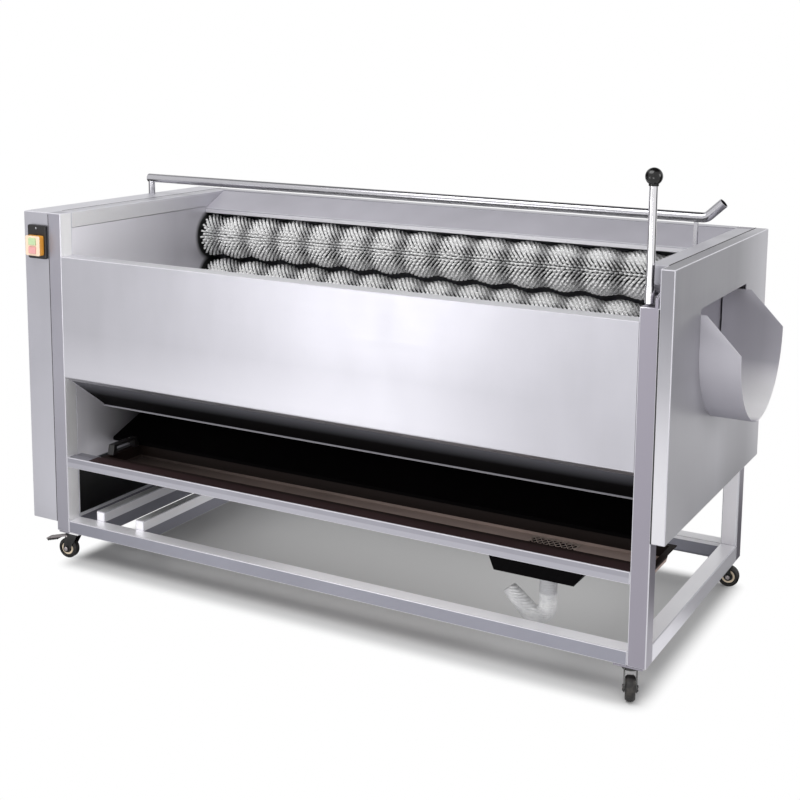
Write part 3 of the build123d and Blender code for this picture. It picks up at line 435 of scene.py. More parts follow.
finishes = {
    "panelSheet": brushedSteel("panelSheet", tone(184, 183, 190), "x", rough=0.37, metallic=0.9, zones=[
        # painted light: the lower left of the panel lighter
        ([("Z", 500, 410), ("X", 1400, 1000)], tone(200, 199, 206)),
        ([("Z", 676.8, 677.6)], tone(226, 226, 230))]),  # painted highlight along the fold at the rim
    "coverSheet": brushedSteel("coverSheet", tone(180, 179, 187), "z", zones=[
        # painted light: the lower part lighter against the shade near the floor, and a painted highlight along
        # the top rim
        ([("Z", 420, 60)], tone(206, 205, 213)),
        ([("Z", rimZ - 1.5, rimZ - 0.5)], tone(208, 207, 214))]),
    # painted shade: a darker copy of the cover steel for the end and rear panels, with painted light toward
    # the rear and the lower front
    "shadedSideSheet": brushedSteel("shadedSideSheet", tone(138, 137, 143), "z", metallic=0.55, zones=[
        ([("Y", 420, 660), ("X", 1400, 1480)], tone(186, 185, 191)),
        ([("Z", 700, 330), ("Y", 560, 330), ("X", 1400, 1480)], tone(206, 205, 211)),
        ([("Z", 560, 300), ("Y", 330, 20), ("X", 1400, 1480)], tone(216, 215, 220))]),
    "leftWallSheet": brushedSteel("leftWallSheet", tone(190, 188, 196), "z", metallic=0.4, zones=[
        # painted light toward the front of the wall, then painted shade deeper in the bay
        ([("Y", 420, 45)], tone(246, 244, 250)),
        ([("Z", bay["panelLow"], bay["panelLow"] - 8), ("Y", bay["wallFront"], bay["wallDeep"])], deepShade),
        ([(axles[0], 74, 60)], paintedShadeBlack),  # painted shade round the two rear brushes
        ([(axles[1], 72, 58)], paintedShadeBlack),
        ([("Z", trayHigh - 24, trayHigh - 27), ("Y", 39, 41)], paintedShadeBlack)]),  # painted shade below the tray rails
    "wallSheet": brushedSteel("wallSheet", tone(176, 174, 182), "z"),
    "guardSheet": brushedSteel("guardSheet", tone(190, 188, 197), "x", metallic=0.45, zones=[
        # painted highlight along the lip of the guard
        ([("Z", rimZ - 43, rimZ - 45), ("Y", 600, 598)], tone(236, 235, 240))]),
    # painted shade: the under panel near black, with painted light on its upper slope and a painted highlight
    # on the lip line
    "underSheet": brushedSteel("underSheet", paintedShadeBlack, "x", rough=0.6, metallic=0.0, bend=1.15, zones=[
        ([("Z", bay["slopeLow"] + 38, bay["panelLow"] + 6)], tone(108, 108, 115)),
        ([("Z", bay["slopeLow"] - 0.5, bay["slopeLow"] - 1.0)], tone(150, 149, 156))]),
    "shadeSheet": brushedSteel("shadeSheet", tone(4, 3, 4), "x", rough=0.6, metallic=0.0, bend=1.12),
    "postTube": brushedSteel("postTube", tone(172, 170, 179), "z", zones=[
        # painted shade darker toward the right, and painted light on the front face of the rear right post
        ([("X", 900, 1462)], tone(150, 146, 157)),
        ([("X", 900, 1462), ("Y", 600, 620), ("Y", 632.6, 632.1)], tone(252, 250, 255))]),
    # painted shade: a darker, less glossy copy of the post steel, with painted light on its inner right face
    "leftPostTube": brushedSteel("leftPostTube", tone(158, 156, 166), "z", metallic=0.45, zones=[
        ([("X", 37.2, 37.8), ("X", 80, 60)], paintedLightWhite)]),
    "trayRailTube": brushedSteel("trayRailTube", tone(152, 151, 160), "x", metallic=0.5, zones=[
        # painted light: the lower part of the rail's front lighter than the upper part
        ([("Z", trayHigh - 11, trayHigh - 13)], tone(168, 167, 176))]),
    "railTube": brushedSteel("railTube", tone(146, 146, 157), "x", metallic=0.5, zones=[
        # painted light on faces in the machine's shade: the top of the front bottom rail, the right end face
        # and the tops of the motor rails
        ([("Z", bay["railLow"] - 0.8, bay["railLow"] - 0.2), ("Z", 60, 50)], tone(252, 251, 255)),
        ([("X", endX - 0.8, endX - 0.2)], tone(222, 221, 228)),
        ([("Z", bay["railTop"] - 0.3, bay["railTop"]), ("Y", 38, 38.5)], tone(250, 250, 252))]),
    "crossTube": brushedSteel("crossTube", tone(180, 179, 187), "y", zones=[
        # painted light: the top of the frame lighter, and the inner right face of its left rail white
        ([("Z", rimZ - 8, rimZ - 5)], tone(190, 189, 196)),
        ([("X", 37.2, 37.8), ("X", 80, 60), ("Y", 640, 60)], paintedLightWhite)]),
    # painted highlight on the rounded edges of sheets and tubes
    "paintedEdgeHighlight": brushedSteel("paintedEdgeHighlight", tone(206, 205, 212), "x", rough=0.3, metallic=0.25),
    "chuteSheet": brushedSteel("chuteSheet", tone(196, 194, 202), "y", rough=0.52, metallic=0.25, zones=[
        # painted shade on the inner back and the outer front, and painted light along the inner bottom
        ([("Y", 325, 400), ("X", 1500, 1570)], tone(164, 162, 170)),
        ([("Y", 340, 300), ("Z", 560, 440)], tone(156, 154, 164)),
        ([("Y", 300, 345), ("Z", 520, 445)], paintedLightWhite)]),
    "polishedBar": polishedSteel("polishedBar", tone(226, 225, 228)),
    "pipeSteel": polishedSteel("pipeSteel", tone(186, 185, 190), rough=0.2),
    "machinedSteel": polishedSteel("machinedSteel", tone(170, 170, 174), rough=0.3),
    "zincSteel": polishedSteel("zincSteel", tone(206, 196, 198), rough=0.26),
    "trayBrown": trayFinish("trayBrown", tone(28, 20, 18), tone(162, 144, 137), floorHigh=trayHigh - 25),
    "strainerPlate": trayFinish("strainerPlate", tone(164, 150, 142), tone(164, 150, 142), floorHigh=0),
    "trayEdge": trayFinish("trayEdge", tone(44, 32, 33), tone(44, 32, 33), floorHigh=0),
    "sealBlack": rubberFinish("sealBlack", tone(30, 29, 31)),
    "sealGrey": rubberFinish("sealGrey", tone(66, 64, 70)),
    "blackPlastic": mouldedPlastic("blackPlastic", tone(24, 22, 23)),
    "creamPlastic": mouldedPlastic("creamPlastic", tone(240, 222, 196)),
    "switchAmber": mouldedPlastic("switchAmber", tone(226, 156, 58), rough=0.32, zones=[
        ([("Y", -20.6, -21.6)], tone(248, 222, 196))]),  # the pale face round the buttons
    "greenPlastic": mouldedPlastic("greenPlastic", tone(196, 220, 172), rough=0.3),
    "redPlastic": mouldedPlastic("redPlastic", tone(238, 172, 170), rough=0.3),
    "knobBlack": mouldedPlastic("knobBlack", tone(6, 5, 5), rough=0.2, fleck=0.02),
    "motorPaint": paintedMetal("motorPaint", tone(74, 86, 98)),
    "casterBlack": paintedMetal("casterBlack", tone(14, 13, 13), rough=0.26, coat=0.4, wear=0.3),
    "tyreRubber": rubberFinish("tyreRubber", tone(15, 12, 11)),
    "bristleNylon": bristleFinish(),
    # painted shade: the brush core near black, for the deep shade among the tufts
    "brushCore": mouldedPlastic("brushCore", tone(10, 10, 11), rough=0.6),
    "hoseWhite": hoseFinish(),
}

nodeFinishes = {
    "base_frame": "railTube", "motor_stand": "crossTube", "top_frame": "crossTube",
    "tray_rails": "trayRailTube", "left_wall": "leftWallSheet", "right_wall": "wallSheet",
    "left_bearings": "zincSteel", "right_bearings": "zincSteel", "front_panel": "panelSheet",
    "under_panel": "underSheet", "catch_plate": "shadeSheet", "rear_panel": "shadedSideSheet",
    "splash_guard": "guardSheet", "gear_housing": "coverSheet", "end_cover": "shadedSideSheet",
    "chute": "chuteSheet", "spray_pipe": "pipeSteel", "gear_motor": "motorPaint",
    "drive_gear": "machinedSteel", "gate_plate": "wallSheet", "gate_lever": "polishedBar",
    "lever_knob": "knobBlack", "tray": "trayBrown", "drain_funnel": "shadeSheet",
    "tray_strainer": "strainerPlate", "tray_handle": "blackPlastic", "drain_elbow": "hoseWhite",
    "switch_plate": "blackPlastic", "switch_cover": "switchAmber", "start_button": "greenPlastic",
    "stop_button": "redPlastic", "brake_pedal": "zincSteel",
}
for corner in ("front_left", "rear_left", "front_right", "rear_right"):
    nodeFinishes[corner + "_post"] = "postTube"
    nodeFinishes[corner + "_fork"] = "casterBlack"
    nodeFinishes[corner + "_wheel"] = "tyreRubber"
nodeFinishes["front_left_post"] = "leftPostTube"
rollers = range(1, 9)
for number in rollers:
    nodeFinishes[f"roller_{number}_shaft"] = "machinedSteel"
    nodeFinishes[f"roller_{number}_brush"] = "brushCore"
for name, obj in nodes.items():
    obj.data.materials.clear()
    obj.data.materials.append(finishes[nodeFinishes[name]])
print("finishes made:", len(finishes))

# sheets and tubes: name of the finished copy and the width of its broken edges, in mm
brokenEdges = {
    "front_left_post": ("frontLeftPost", 2.0), "rear_left_post": ("rearLeftPost", 2.0),
    "front_right_post": ("frontRightPost", 2.0), "rear_right_post": ("rearRightPost", 2.0),
    "base_frame": ("baseFrame", 2.0), "top_frame": ("topFrame", 1.6), "tray_rails": ("trayRails", 1.8),
    "gear_housing": ("gearHousing", 1.8), "end_cover": ("endCover", 2.0), "front_panel": ("frontPanel", 1.8),
    "splash_guard": ("splashGuard", 1.0), "under_panel": ("underPanel", 1.0),
    "motor_stand": ("motorStand", 3.0),
}
evenEdges = {"chute": ("chuteTrough", 0.7), "tray_handle": ("trayHandle", 1.6)}
edgeRules = {"mergeWithin": 0.01, "flatAngle": 0.5, "shortest": 20.0, "sharpBelow": 0.85, "faceToWidth": 1.6,
             "roundedSmooth": 20, "evenAngle": 32, "evenSmooth": 25}


def bareCopy(node, name):
    # a copy of a node's mesh, merged and with its flat faces whole
    piece = bpy.data.objects.new(name, nodes[node].data.copy())
    piece.data.name = name
    scene.collection.objects.link(piece)
    openWhole(piece)
    bpy.ops.mesh.remove_doubles(threshold=mm(edgeRules["mergeWithin"]))
    bpy.ops.mesh.dissolve_limited(angle_limit=math.radians(edgeRules["flatAngle"]))
    closeEdit()
    return piece


def standFor(piece, node):
    return settle(piece, nodeBody[node], finishes[nodeFinishes[node]], [node])


def pickOuterEdges(obj, width):
    # long outward edges whose two faces are both wide enough to be rounded off
    mesh = obj.data
    beside = facesByEdge(mesh)

    def wanted(edge):
        a, b = (mesh.vertices[i].co for i in edge.vertices)
        length = (b - a).length
        faces = [mesh.polygons[i] for i in beside.get(edge.key, [])]
        if len(faces) != 2 or length <= mm(edgeRules["shortest"]):
            return False
        first, second = faces
        sharp = first.normal.dot(second.normal) < edgeRules["sharpBelow"]
        outward = (second.center - first.center).dot(first.normal) < 0
        wide = min(face.area for face in faces) / length > edgeRules["faceToWidth"] * width
        return sharp and outward and wide

    pickParts(obj, "EDGE", wanted)


def roundedCopy(node, name, width):
    piece = standFor(bareCopy(node, name), node)
    piece.data.materials.append(finishes["paintedEdgeHighlight"])
    pickOuterEdges(piece, mm(width))
    # the rounded edge faces take the second slot, the painted edge highlight
    bpy.ops.mesh.bevel(offset=mm(width), offset_type="OFFSET", segments=2, affect="EDGES", material=1,
                       clamp_overlap=False)
    closeEdit()
    smooth(piece, edgeRules["roundedSmooth"])


def evenCopy(node, name, width):
    # small parts: every sharp edge a little
    piece = bareCopy(node, name)
    modify(piece, "BEVEL", width=mm(width), segments=2, limit_method="ANGLE",
           angle_limit=math.radians(edgeRules["evenAngle"]), use_clamp_overlap=True)
    smooth(piece, edgeRules["evenSmooth"])
    standFor(piece, node)


for node, (name, width) in brokenEdges.items():
    roundedCopy(node, name, width)
for node, (name, width) in evenEdges.items():
    evenCopy(node, name, width)
print("sheets and tubes finished:", len(brokenEdges) + len(evenEdges))

# beads of sealant in the joints of the covers, and a dark strip on top of the front tray rail in the tray's
# edge colour
seams = {"proud": 0.4, "depth": 3.0, "roundShare": 0.3, "topFront": 48.0, "topRear": 668.0,
         "left": {"x": 0.0, "width": 2.2, "low": 23.0, "high": rimZ - 4, "finish": "sealGrey"},
         "right": {"x": endX, "width": 3.4, "low": 253.0, "high": rimZ - 76, "finish": "sealBlack"}}
strip = {"left": 104.0, "right": 1461.0, "front": 2.6, "rear": 37.0, "lift": 0.05, "rise": 1.4}


def makeBead(name, low, high, finish):
    bead = startBox(name, low, high)
    sides = sorted(high - low)
    modify(bead, "BEVEL", width=sides[0] * seams["roundShare"], segments=2)
    settle(bead, "frame", finishes[finish])


for name in ("left", "right"):
    seam = seams[name]
    left, far = seam["x"] - seam["width"] / 2, seam["x"] + seam["width"] / 2
    makeBead(name + "FrontBead", spot(left, -seams["proud"] / 2, seam["low"]),
             spot(far, seams["depth"], seam["high"]), seam["finish"])
    makeBead(name + "TopBead", spot(left, seams["topFront"], rimZ + seams["proud"] - seams["depth"]),
             spot(far, seams["topRear"], rimZ + seams["proud"]), seam["finish"])
makeBead("railStrip", spot(strip["left"], strip["front"], trayHigh + strip["lift"]),
         spot(strip["right"], strip["rear"], trayHigh + strip["rise"]), "trayEdge")
print("seams laid")

# brush rollers; rootSink is how far a tuft starts under the core's face, dome is its rounded tip
brush = {"rings": 240, "rows": 20, "sides": 6, "coreRadius": 32.0, "tipRadius": 57.7, "thinTip": 50.5,
         "tuftRadius": 2.3, "tuftFlare": 1.22, "rootSink": 0.6, "domeStep": 1.0, "domeTip": 0.4,
         "domeTaper": 0.68, "thinSpread": 0.86, "fullSpread": 1.3, "wavePitch": 94.86, "firstWaist": 82.46,
         "tipTrim": 0.6, "lean": 0.03, "strandStep": 0.37, "seed": 11, "smooth": 50}
core = {"sides": 48, "rim": 3, "dish": 14, "dishShare": 0.9985}


def makeTuft():
    # one bundle of filaments with a rounded tip, standing on the core
    base = mm(brush["coreRadius"] - brush["rootSink"])
    tip = mm(brush["tipRadius"] - (brush["domeStep"] + brush["domeTip"]))
    tuft = startRod("tuft", brush["sides"], mm(brush["tuftRadius"]), tip - base, (0, 0, (tip + base) / 2))
    pickParts(tuft, "FACE", lambda face: face.normal.z > facing)
    bpy.ops.transform.resize(value=(brush["tuftFlare"],) * 2 + (1,))
    bpy.ops.mesh.extrude_region_move(TRANSFORM_OT_translate={"value": (0, 0, mm(brush["domeStep"]))})
    bpy.ops.transform.resize(value=(brush["domeTaper"],) * 2 + (1,))
    bpy.ops.mesh.poke(offset=mm(brush["domeTip"]))
    closeEdit()
    return tuft


def layTufts(tuft, name, step):
    # two rings, the second turned by half a tuft, repeated along the roller and round it
    halfRow = math.pi / brush["rows"]
    staggered = copyPiece(tuft, "staggered", (step, 0, 0))
    staggered.data.transform(Matrix.Rotation(halfRow, 4, "X"))
    piece = joinPieces([copyPiece(tuft, name), staggered], name)
    modify(piece, "ARRAY", count=brush["rings"] // 2, use_relative_offset=False, use_constant_offset=True,
           constant_offset_displace=(2 * step, 0, 0))
    clearAll()
    bpy.ops.object.empty_add(location=(0, 0, 0), rotation=(2 * halfRow, 0, 0))
    turner = bpy.context.object
    modify(piece, "ARRAY", count=brush["rows"], use_relative_offset=False, use_object_offset=True,
           offset_object=turner)
    bpy.data.objects.remove(turner)
    return piece


def storeValues(mesh, name, values):
    attribute = mesh.attributes.new(name, "FLOAT", "POINT")
    attribute.data.foreach_set("value", values.astype(np.float32).ravel())


def shapeTips(piece, number, low, high, centre, perTuft):
    # the tips follow bulges and waists, the waists of one brush beside the bulges of the next
    mesh = piece.data
    rings, rows = brush["rings"], brush["rows"]
    step = (high.x - low.x) / rings
    points = np.empty(len(mesh.vertices) * 3, np.float32)
    mesh.vertices.foreach_get("co", points)
    points = points.reshape(rows, rings, perTuft, 3).astype(float)
    rng = np.random.default_rng(brush["seed"] + number)

    ringX = low.x + (np.arange(rings) + 0.5) * step
    waist = spot(brush["firstWaist"], 0, 0).x + (mm(brush["wavePitch"]) / 2 if number % 2 == 0 else 0)
    wave = (1 - np.cos(2 * math.pi * (ringX - waist) / mm(brush["wavePitch"]))) / 2
    spread = brush["thinSpread"] + wave * (brush["fullSpread"] - brush["thinSpread"])
    fromRing = points[..., 0] - (np.arange(rings) * step)[None, :, None]
    points[..., 0] += fromRing * (spread - 1)[None, :, None]

    inner, full, thin = mm(brush["coreRadius"]), mm(brush["tipRadius"]), mm(brush["thinTip"])
    tip = thin + wave * (full - thin)
    tip = tip[None, :] + rng.uniform(-mm(brush["tipTrim"]), 0.0, (rows, rings))
    radial = np.hypot(points[..., 1], points[..., 2])
    reach = np.clip((radial - inner) / (full - inner), 0, None)
    share = ((tip - inner) / (full - inner))[:, :, None]
    shrink = np.where(radial > inner, (inner + (radial - inner) * share) / radial, 1.0)
    points[..., 1:] *= shrink[..., None]

    rise = np.clip(radial - inner, 0, None) * share
    lean = rng.normal(0, brush["lean"], (2,) + tip.shape)[..., None]
    angle = np.arctan2(points[..., 2], points[..., 1])
    points[..., 0] += lean[0] * rise
    points[..., 1] -= np.sin(angle) * lean[1] * rise
    points[..., 2] += np.cos(angle) * lean[1] * rise
    points += (low.x + step / 2, centre.y, centre.z)
    points[..., 0] = np.clip(points[..., 0], low.x, high.x)
    mesh.vertices.foreach_set("co", points.astype(np.float32).ravel())

    around = np.tile(np.arange(perTuft) % brush["sides"], (rows, rings, 1)) * brush["strandStep"]
    storeValues(mesh, "reach", reach)
    storeValues(mesh, "strand", around + rng.uniform(0, 1, tip.shape)[:, :, None])
    storeValues(mesh, "swell", np.broadcast_to(wave[None, :, None], radial.shape))
    mesh.update()


def makeCore(number, middle, length):
    tube = startRod(f"brushCore{number}", core["sides"], mm(brush["coreRadius"]), length, middle, "X")
    pickParts(tube, "FACE", lambda face: abs(face.normal.x) > facing)
    bpy.ops.mesh.inset(thickness=mm(core["rim"]))
    bpy.ops.mesh.inset(thickness=mm(core["dish"]))
    bpy.ops.transform.resize(value=(core["dishShare"], 1, 1), center_override=middle)
    closeEdit()
    smooth(tube)
    settle(tube, f"roller_{number}", finishes["brushCore"])


def makeBrush(tuft, number):
    low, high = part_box(f"roller_{number}_brush")
    centre = sum(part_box(f"roller_{number}_shaft"), Vector()) / 2
    piece = layTufts(tuft, f"brush{number}", (high.x - low.x) / brush["rings"])
    shapeTips(piece, number, low, high, centre, len(tuft.data.vertices))
    smooth(piece, brush["smooth"])
    settle(piece, f"roller_{number}", finishes["bristleNylon"], [f"roller_{number}_brush"])
    makeCore(number, ((low.x + high.x) / 2, centre.y, centre.z), high.x - low.x)


tuft = makeTuft()
for number in rollers:
    makeBrush(tuft, number)
bpy.data.objects.remove(tuft)
print("brushes made")

# switch: base, cover and buttons, and the screw in the base
switchEdges = {"switch_plate": ("switchBase", 1.6), "switch_cover": ("switchCover", 1.4),
               "start_button": ("startButton", 0.9), "stop_button": ("stopButton", 0.9)}
screw = {"x": -30.0, "front": -8.0, "z": 742.0, "sides": 20, "radius": 2.6, "rise": 0.9, "rim": 0.5,
         "slope": 0.6, "recess": 0.4}


def makeScrew():
    head = startRod("switchScrew", screw["sides"], mm(screw["radius"]), mm(screw["rise"] * 2),
                    spot(screw["x"], screw["front"], screw["z"]), "Y")
    pickParts(head, "FACE", lambda face: face.normal.y < -facing)
    bpy.ops.mesh.inset(thickness=mm(screw["rim"]))
    bpy.ops.mesh.inset(thickness=mm(screw["slope"]), depth=-mm(screw["recess"]))
    closeEdit()
    smooth(head)
    settle(head, "frame", finishes["machinedSteel"])


for node, (name, width) in switchEdges.items():
    evenCopy(node, name, width)
makeScrew()
print("switch made")

# strainer: a lattice plate with diamond openings, every second row set over by half
strainer = {"columns": 8, "rows": 5, "bar": 0.8, "straightWithin": 0.01}


def makeStrainer():
    low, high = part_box("tray_strainer")
    clearAll()
    bpy.ops.mesh.primitive_grid_add(x_subdivisions=strainer["columns"], y_subdivisions=strainer["rows"],
                                    size=1, location=((low.x + high.x) / 2, (low.y + high.y) / 2, high.z))
    plate = newest("strainerLattice")
    plate.scale = (high.x - low.x, high.y - low.y, 1)
    freeze(plate)
    openWhole(plate)
    bpy.ops.mesh.poke()
    closeEdit()
    mesh = plate.data
    beside = facesByEdge(mesh)

    def gridLine(edge):
        # the straight lines between two cells; the diagonals of the poked cells stay
        a, b = (mesh.vertices[i].co for i in edge.vertices)
        straight = min(abs(a.x - b.x), abs(a.y - b.y)) < mm(strainer["straightWithin"])
        return straight and len(beside[edge.key]) == 2

    pickParts(plate, "EDGE", gridLine)
    bpy.ops.mesh.dissolve_edges(use_verts=False)
    closeEdit()
    diamonds = {tuple(face.center) for face in mesh.polygons if len(face.vertices) == 4}
    pickParts(plate, "FACE", lambda face: tuple(face.center) in diamonds)
    bpy.ops.mesh.inset(thickness=mm(strainer["bar"]), use_individual=True)
    bpy.ops.mesh.delete(type="FACE")
    closeEdit()
    modify(plate, "SOLIDIFY", thickness=high.z - low.z, offset=-1.0)
    standFor(plate, "tray_strainer")
    print("strainer made:", len(diamonds), "openings")


makeStrainer()

# casters, modelled with the trail along +X and then turned to their heading
caster = {"headings": {"front_left": 188.0, "rear_left": 180.0, "front_right": 290.0, "rear_right": 8.0},
          "inset": 36.0, "side": 19.0, "trail": 15.0, "axleDrop": 45.0, "wheelEdge": 0.6, "forkEdge": 0.7}
hubRing = {"radius": 13.2, "wire": 2.5, "plane": 7.6, "flat": 0.45, "around": 36, "across": 10}
axleNut = {"sides": 6, "radius": 5.4, "low": 14.6, "high": 15.7, "rim": 1.6, "stub": 0.3, "edge": 0.2}
pedal = {"edge": 0.6, "pinX": 14.0, "pinDrop": 13.0, "angle": 14.0, "teeth": 5, "pitch": 6.4,
         "toothSides": 4, "toothRadius": 3.4, "toothLength": 21.0, "toothEdge": 0.5, "toothDrop": 3.2,
         "firstTooth": 32.0}


def placeCaster(piece, corner):
    side, end = corner.split("_")
    x = caster["inset"] if end == "left" else machine["length"] - caster["inset"]
    y = caster["side"] if side == "front" else machine["depth"] - caster["side"]
    turn = Matrix.Rotation(math.radians(caster["headings"][corner]), 4, "Z")
    piece.data.transform(Matrix.Translation(spot(x, y, 0)) @ turn)
    return piece


def makeHubRings(corner):
    rings = []
    for side in (-1, 1):
        clearAll()
        bpy.ops.mesh.primitive_torus_add(major_radius=mm(hubRing["radius"]), minor_radius=mm(hubRing["wire"]),
                                         major_segments=hubRing["around"], minor_segments=hubRing["across"],
                                         rotation=(math.pi / 2, 0, 0))
        ring = freeze(newest("hubRing"))
        openWhole(ring)
        bpy.ops.transform.resize(value=(1, hubRing["flat"], 1), center_override=(0, 0, 0))
        closeEdit()
        moveMesh(ring, (mm(caster["trail"]), side * mm(hubRing["plane"]), -mm(caster["axleDrop"])))
        rings.append(ring)
    ring = joinPieces(rings, corner.replace("_", "") + "HubRing")
    smooth(ring)
    settle(placeCaster(ring, corner), corner + "_roll", finishes["creamPlastic"])


def makeNuts(corner):
    nuts = []
    for side in (-1, 1):
        middle = side * (axleNut["low"] + axleNut["high"]) / 2
        nut = startRod("nut", axleNut["sides"], mm(axleNut["radius"]), mm(axleNut["high"] - axleNut["low"]),
                       (mm(caster["trail"]), mm(middle), -mm(caster["axleDrop"])), "Y")
        pickParts(nut, "FACE", lambda face: face.normal.y * side > facing)
        bpy.ops.mesh.inset(thickness=mm(axleNut["rim"]))
        bpy.ops.mesh.extrude_region_move(TRANSFORM_OT_translate={"value": (0, side * mm(axleNut["stub"]), 0)})
        closeEdit()
        modify(nut, "BEVEL", width=mm(axleNut["edge"]), segments=2)
        nuts.append(nut)
    nut = joinPieces(nuts, corner.replace("_", "") + "AxleNuts")
    settle(placeCaster(nut, corner), corner + "_swivel", finishes["zincSteel"])


def makePedalGrip():
    # the comb of rubber teeth under the outer end of the pedal
    comb = startRod("pedalGrip", pedal["toothSides"], mm(pedal["toothRadius"]), mm(pedal["toothLength"]),
                    (0, 0, 0), "Y")
    modify(comb, "BEVEL", width=mm(pedal["toothEdge"]), segments=1)
    modify(comb, "ARRAY", count=pedal["teeth"], use_relative_offset=False, use_constant_offset=True,
           constant_offset_displace=(mm(pedal["pitch"]), 0, 0))
    moveMesh(comb, (mm(pedal["firstTooth"]), 0, -mm(pedal["toothDrop"])))
    slope = Matrix.Rotation(math.radians(pedal["angle"]), 4, "Y")
    comb.data.transform(Matrix.Translation((mm(pedal["pinX"]), 0, -mm(pedal["pinDrop"]))) @ slope)
    settle(placeCaster(comb, "front_left"), "brake", finishes["tyreRubber"])


for corner in caster["headings"]:
    plain = corner.replace("_", "")
    evenCopy(corner + "_wheel", plain + "Wheel", caster["wheelEdge"])
    evenCopy(corner + "_fork", plain + "Fork", caster["forkEdge"])
    makeHubRings(corner)
    makeNuts(corner)
evenCopy("brake_pedal", "brakePedal", pedal["edge"])
makePedalGrip()
print("casters made")

# drain elbow: a wrapped hose bent up under the tray; its rings are (step in mm, size against the last ring)
elbow = {"x": 1249.0, "y": 111.0, "top": 107.6, "bendZ": 36.0, "bend": 26.0, "turn": 138.0, "arm": 52.0,
         "radius": 17.3, "mouthDepth": 16.0, "bendSteps": 14, "sides": 28,
         "upright": [(5, 1.03), (4, 1.06), (4, 0.96), (6, 1.02), (4, 1.05), (4, 0.95), (7, 1.03), (4, 1.04),
                     (4, 0.96), (6, 1.0), (4, 1.03), (5, 0.98)],
         "armRings": [(7, 1.0), (5, 1.0), (5, 0.95), (8, 0.99), (5, 1.02), (5, 0.94), (8, 0.98), (5, 0.96)],
         "lipRings": [(3.0, 0.97), (3.0, 0.9), (2.0, 0.8)],
         "foldSize": 0.012, "foldDepth": 1.3, "foldMiddle": 0.6, "smooth": 60}


def growHose(move):
    bpy.ops.mesh.extrude_region_move(TRANSFORM_OT_translate={"value": move})


def fitRings(rings, length):
    share = length / sum(step for step, size in rings)
    return [(step * share, size) for step, size in rings]


def makeElbow():
    clearAll()
    bpy.ops.mesh.primitive_circle_add(vertices=elbow["sides"], radius=mm(elbow["radius"]), fill_type="NGON",
                                      location=spot(elbow["x"], elbow["y"], elbow["top"]))
    hose = freeze(newest("drainElbow"))
    openWhole(hose)
    z = elbow["top"]
    for step, size in fitRings(elbow["upright"], elbow["top"] - elbow["bendZ"]):
        growHose((0, 0, -mm(step)))
        z -= step
        bpy.ops.transform.resize(value=(size, size, 1), center_override=spot(elbow["x"], elbow["y"], z))
    closeEdit()
    # round the bend, a little at a time, in the plane of the front
    centre = spot(elbow["x"] - elbow["bend"], elbow["y"], elbow["bendZ"])
    turn = Matrix.Rotation(math.radians(elbow["turn"]) / elbow["bendSteps"], 4, "Y")
    turn = Matrix.Translation(centre) @ turn @ Matrix.Translation(-centre)
    for number in range(elbow["bendSteps"]):
        openEdit(hose)
        growHose((0, 0, 0))
        closeEdit()
        for vertex in hose.data.vertices:
            if vertex.select:
                vertex.co = turn @ vertex.co
    # the arm, its rounded lip and the way into its mouth
    pastUpright = math.radians(elbow["turn"] - 90)
    along = Vector((-math.sin(pastUpright), 0, math.cos(pastUpright)))
    middle = centre + Matrix.Rotation(math.radians(elbow["turn"]), 3, "Y") @ Vector((mm(elbow["bend"]), 0, 0))
    openEdit(hose)
    for step, size in fitRings(elbow["armRings"], elbow["arm"]) + elbow["lipRings"]:
        growHose(along * mm(step))
        middle = middle + along * mm(step)
        bpy.ops.transform.resize(value=(size,) * 3, center_override=middle)
    growHose(-along * mm(elbow["mouthDepth"]))
    bpy.ops.mesh.select_all(action="SELECT")
    bpy.ops.mesh.normals_make_consistent(inside=False)
    closeEdit()
    modify(hose, "SUBSURF", levels=1, render_levels=1)
    folds = bpy.data.textures.new("folds", "CLOUDS")
    folds.noise_scale = elbow["foldSize"]
    modify(hose, "DISPLACE", strength=mm(elbow["foldDepth"]), mid_level=elbow["foldMiddle"], texture=folds,
           texture_coords="LOCAL")
    smooth(hose, elbow["smooth"])
    settle(hose, "tray", finishes["hoseWhite"], ["drain_elbow"])


makeElbow()
print("elbow made")

# studio; a flag is (direction, where it starts, where it is full, how dark), by the cosine from its direction
studio = {"ambient": 0.72, "behind": 0.12, "behindFrom": -0.1, "behindTo": 0.75,
          "flags": [((0, 0.35, 0.94), 0.66, 0.86, 0.92),
                    ((-1, 0.05, 0), 0.8, 0.92, 0.9),
                    ((0.88, 0.47, 0), 0.9, 0.96, 0.9)],
          "floorSize": 24, "halfLength": 0.7, "halfDepth": 0.32, "softEdge": 0.058, "floorGrey": 0.62}
view = {"place": (1.4951, -2.6471, 1.248), "turn": (81.316, -0.666, 28.371), "lens": 60.117, "sensor": 36.0,
        "shift": (-0.0328, -0.1875), "clip": (0.05, 60)}
lamps = {
    "topLamp": {"place": (-0.3, -1.3, 3.0), "aim": (0, 0, 0.6), "size": (2.4, 1.6), "power": 48},
    "panelLamp": {"place": (-0.94, -2.3, 0.26), "aim": (0, -0.3, 0.45), "size": (0.75, 1.1), "power": 9.6},
    "sideLamp": {"place": (3.9, 0.4, 1.7), "aim": (0.6, 0, 0.5), "size": (1.4, 1.4), "power": 27},
    "bayLamp": {"place": (1.1, -2.3, 0.35), "aim": (-0.7, 0, 0.4), "size": (0.6, 0.5), "power": 6},
    "underLamp": {"place": (0.07, 0.08, 0.16), "aim": (0.07, 0.08, 0), "size": (1.15, 0.38), "power": 0.6,
                  "hidden": True},
}


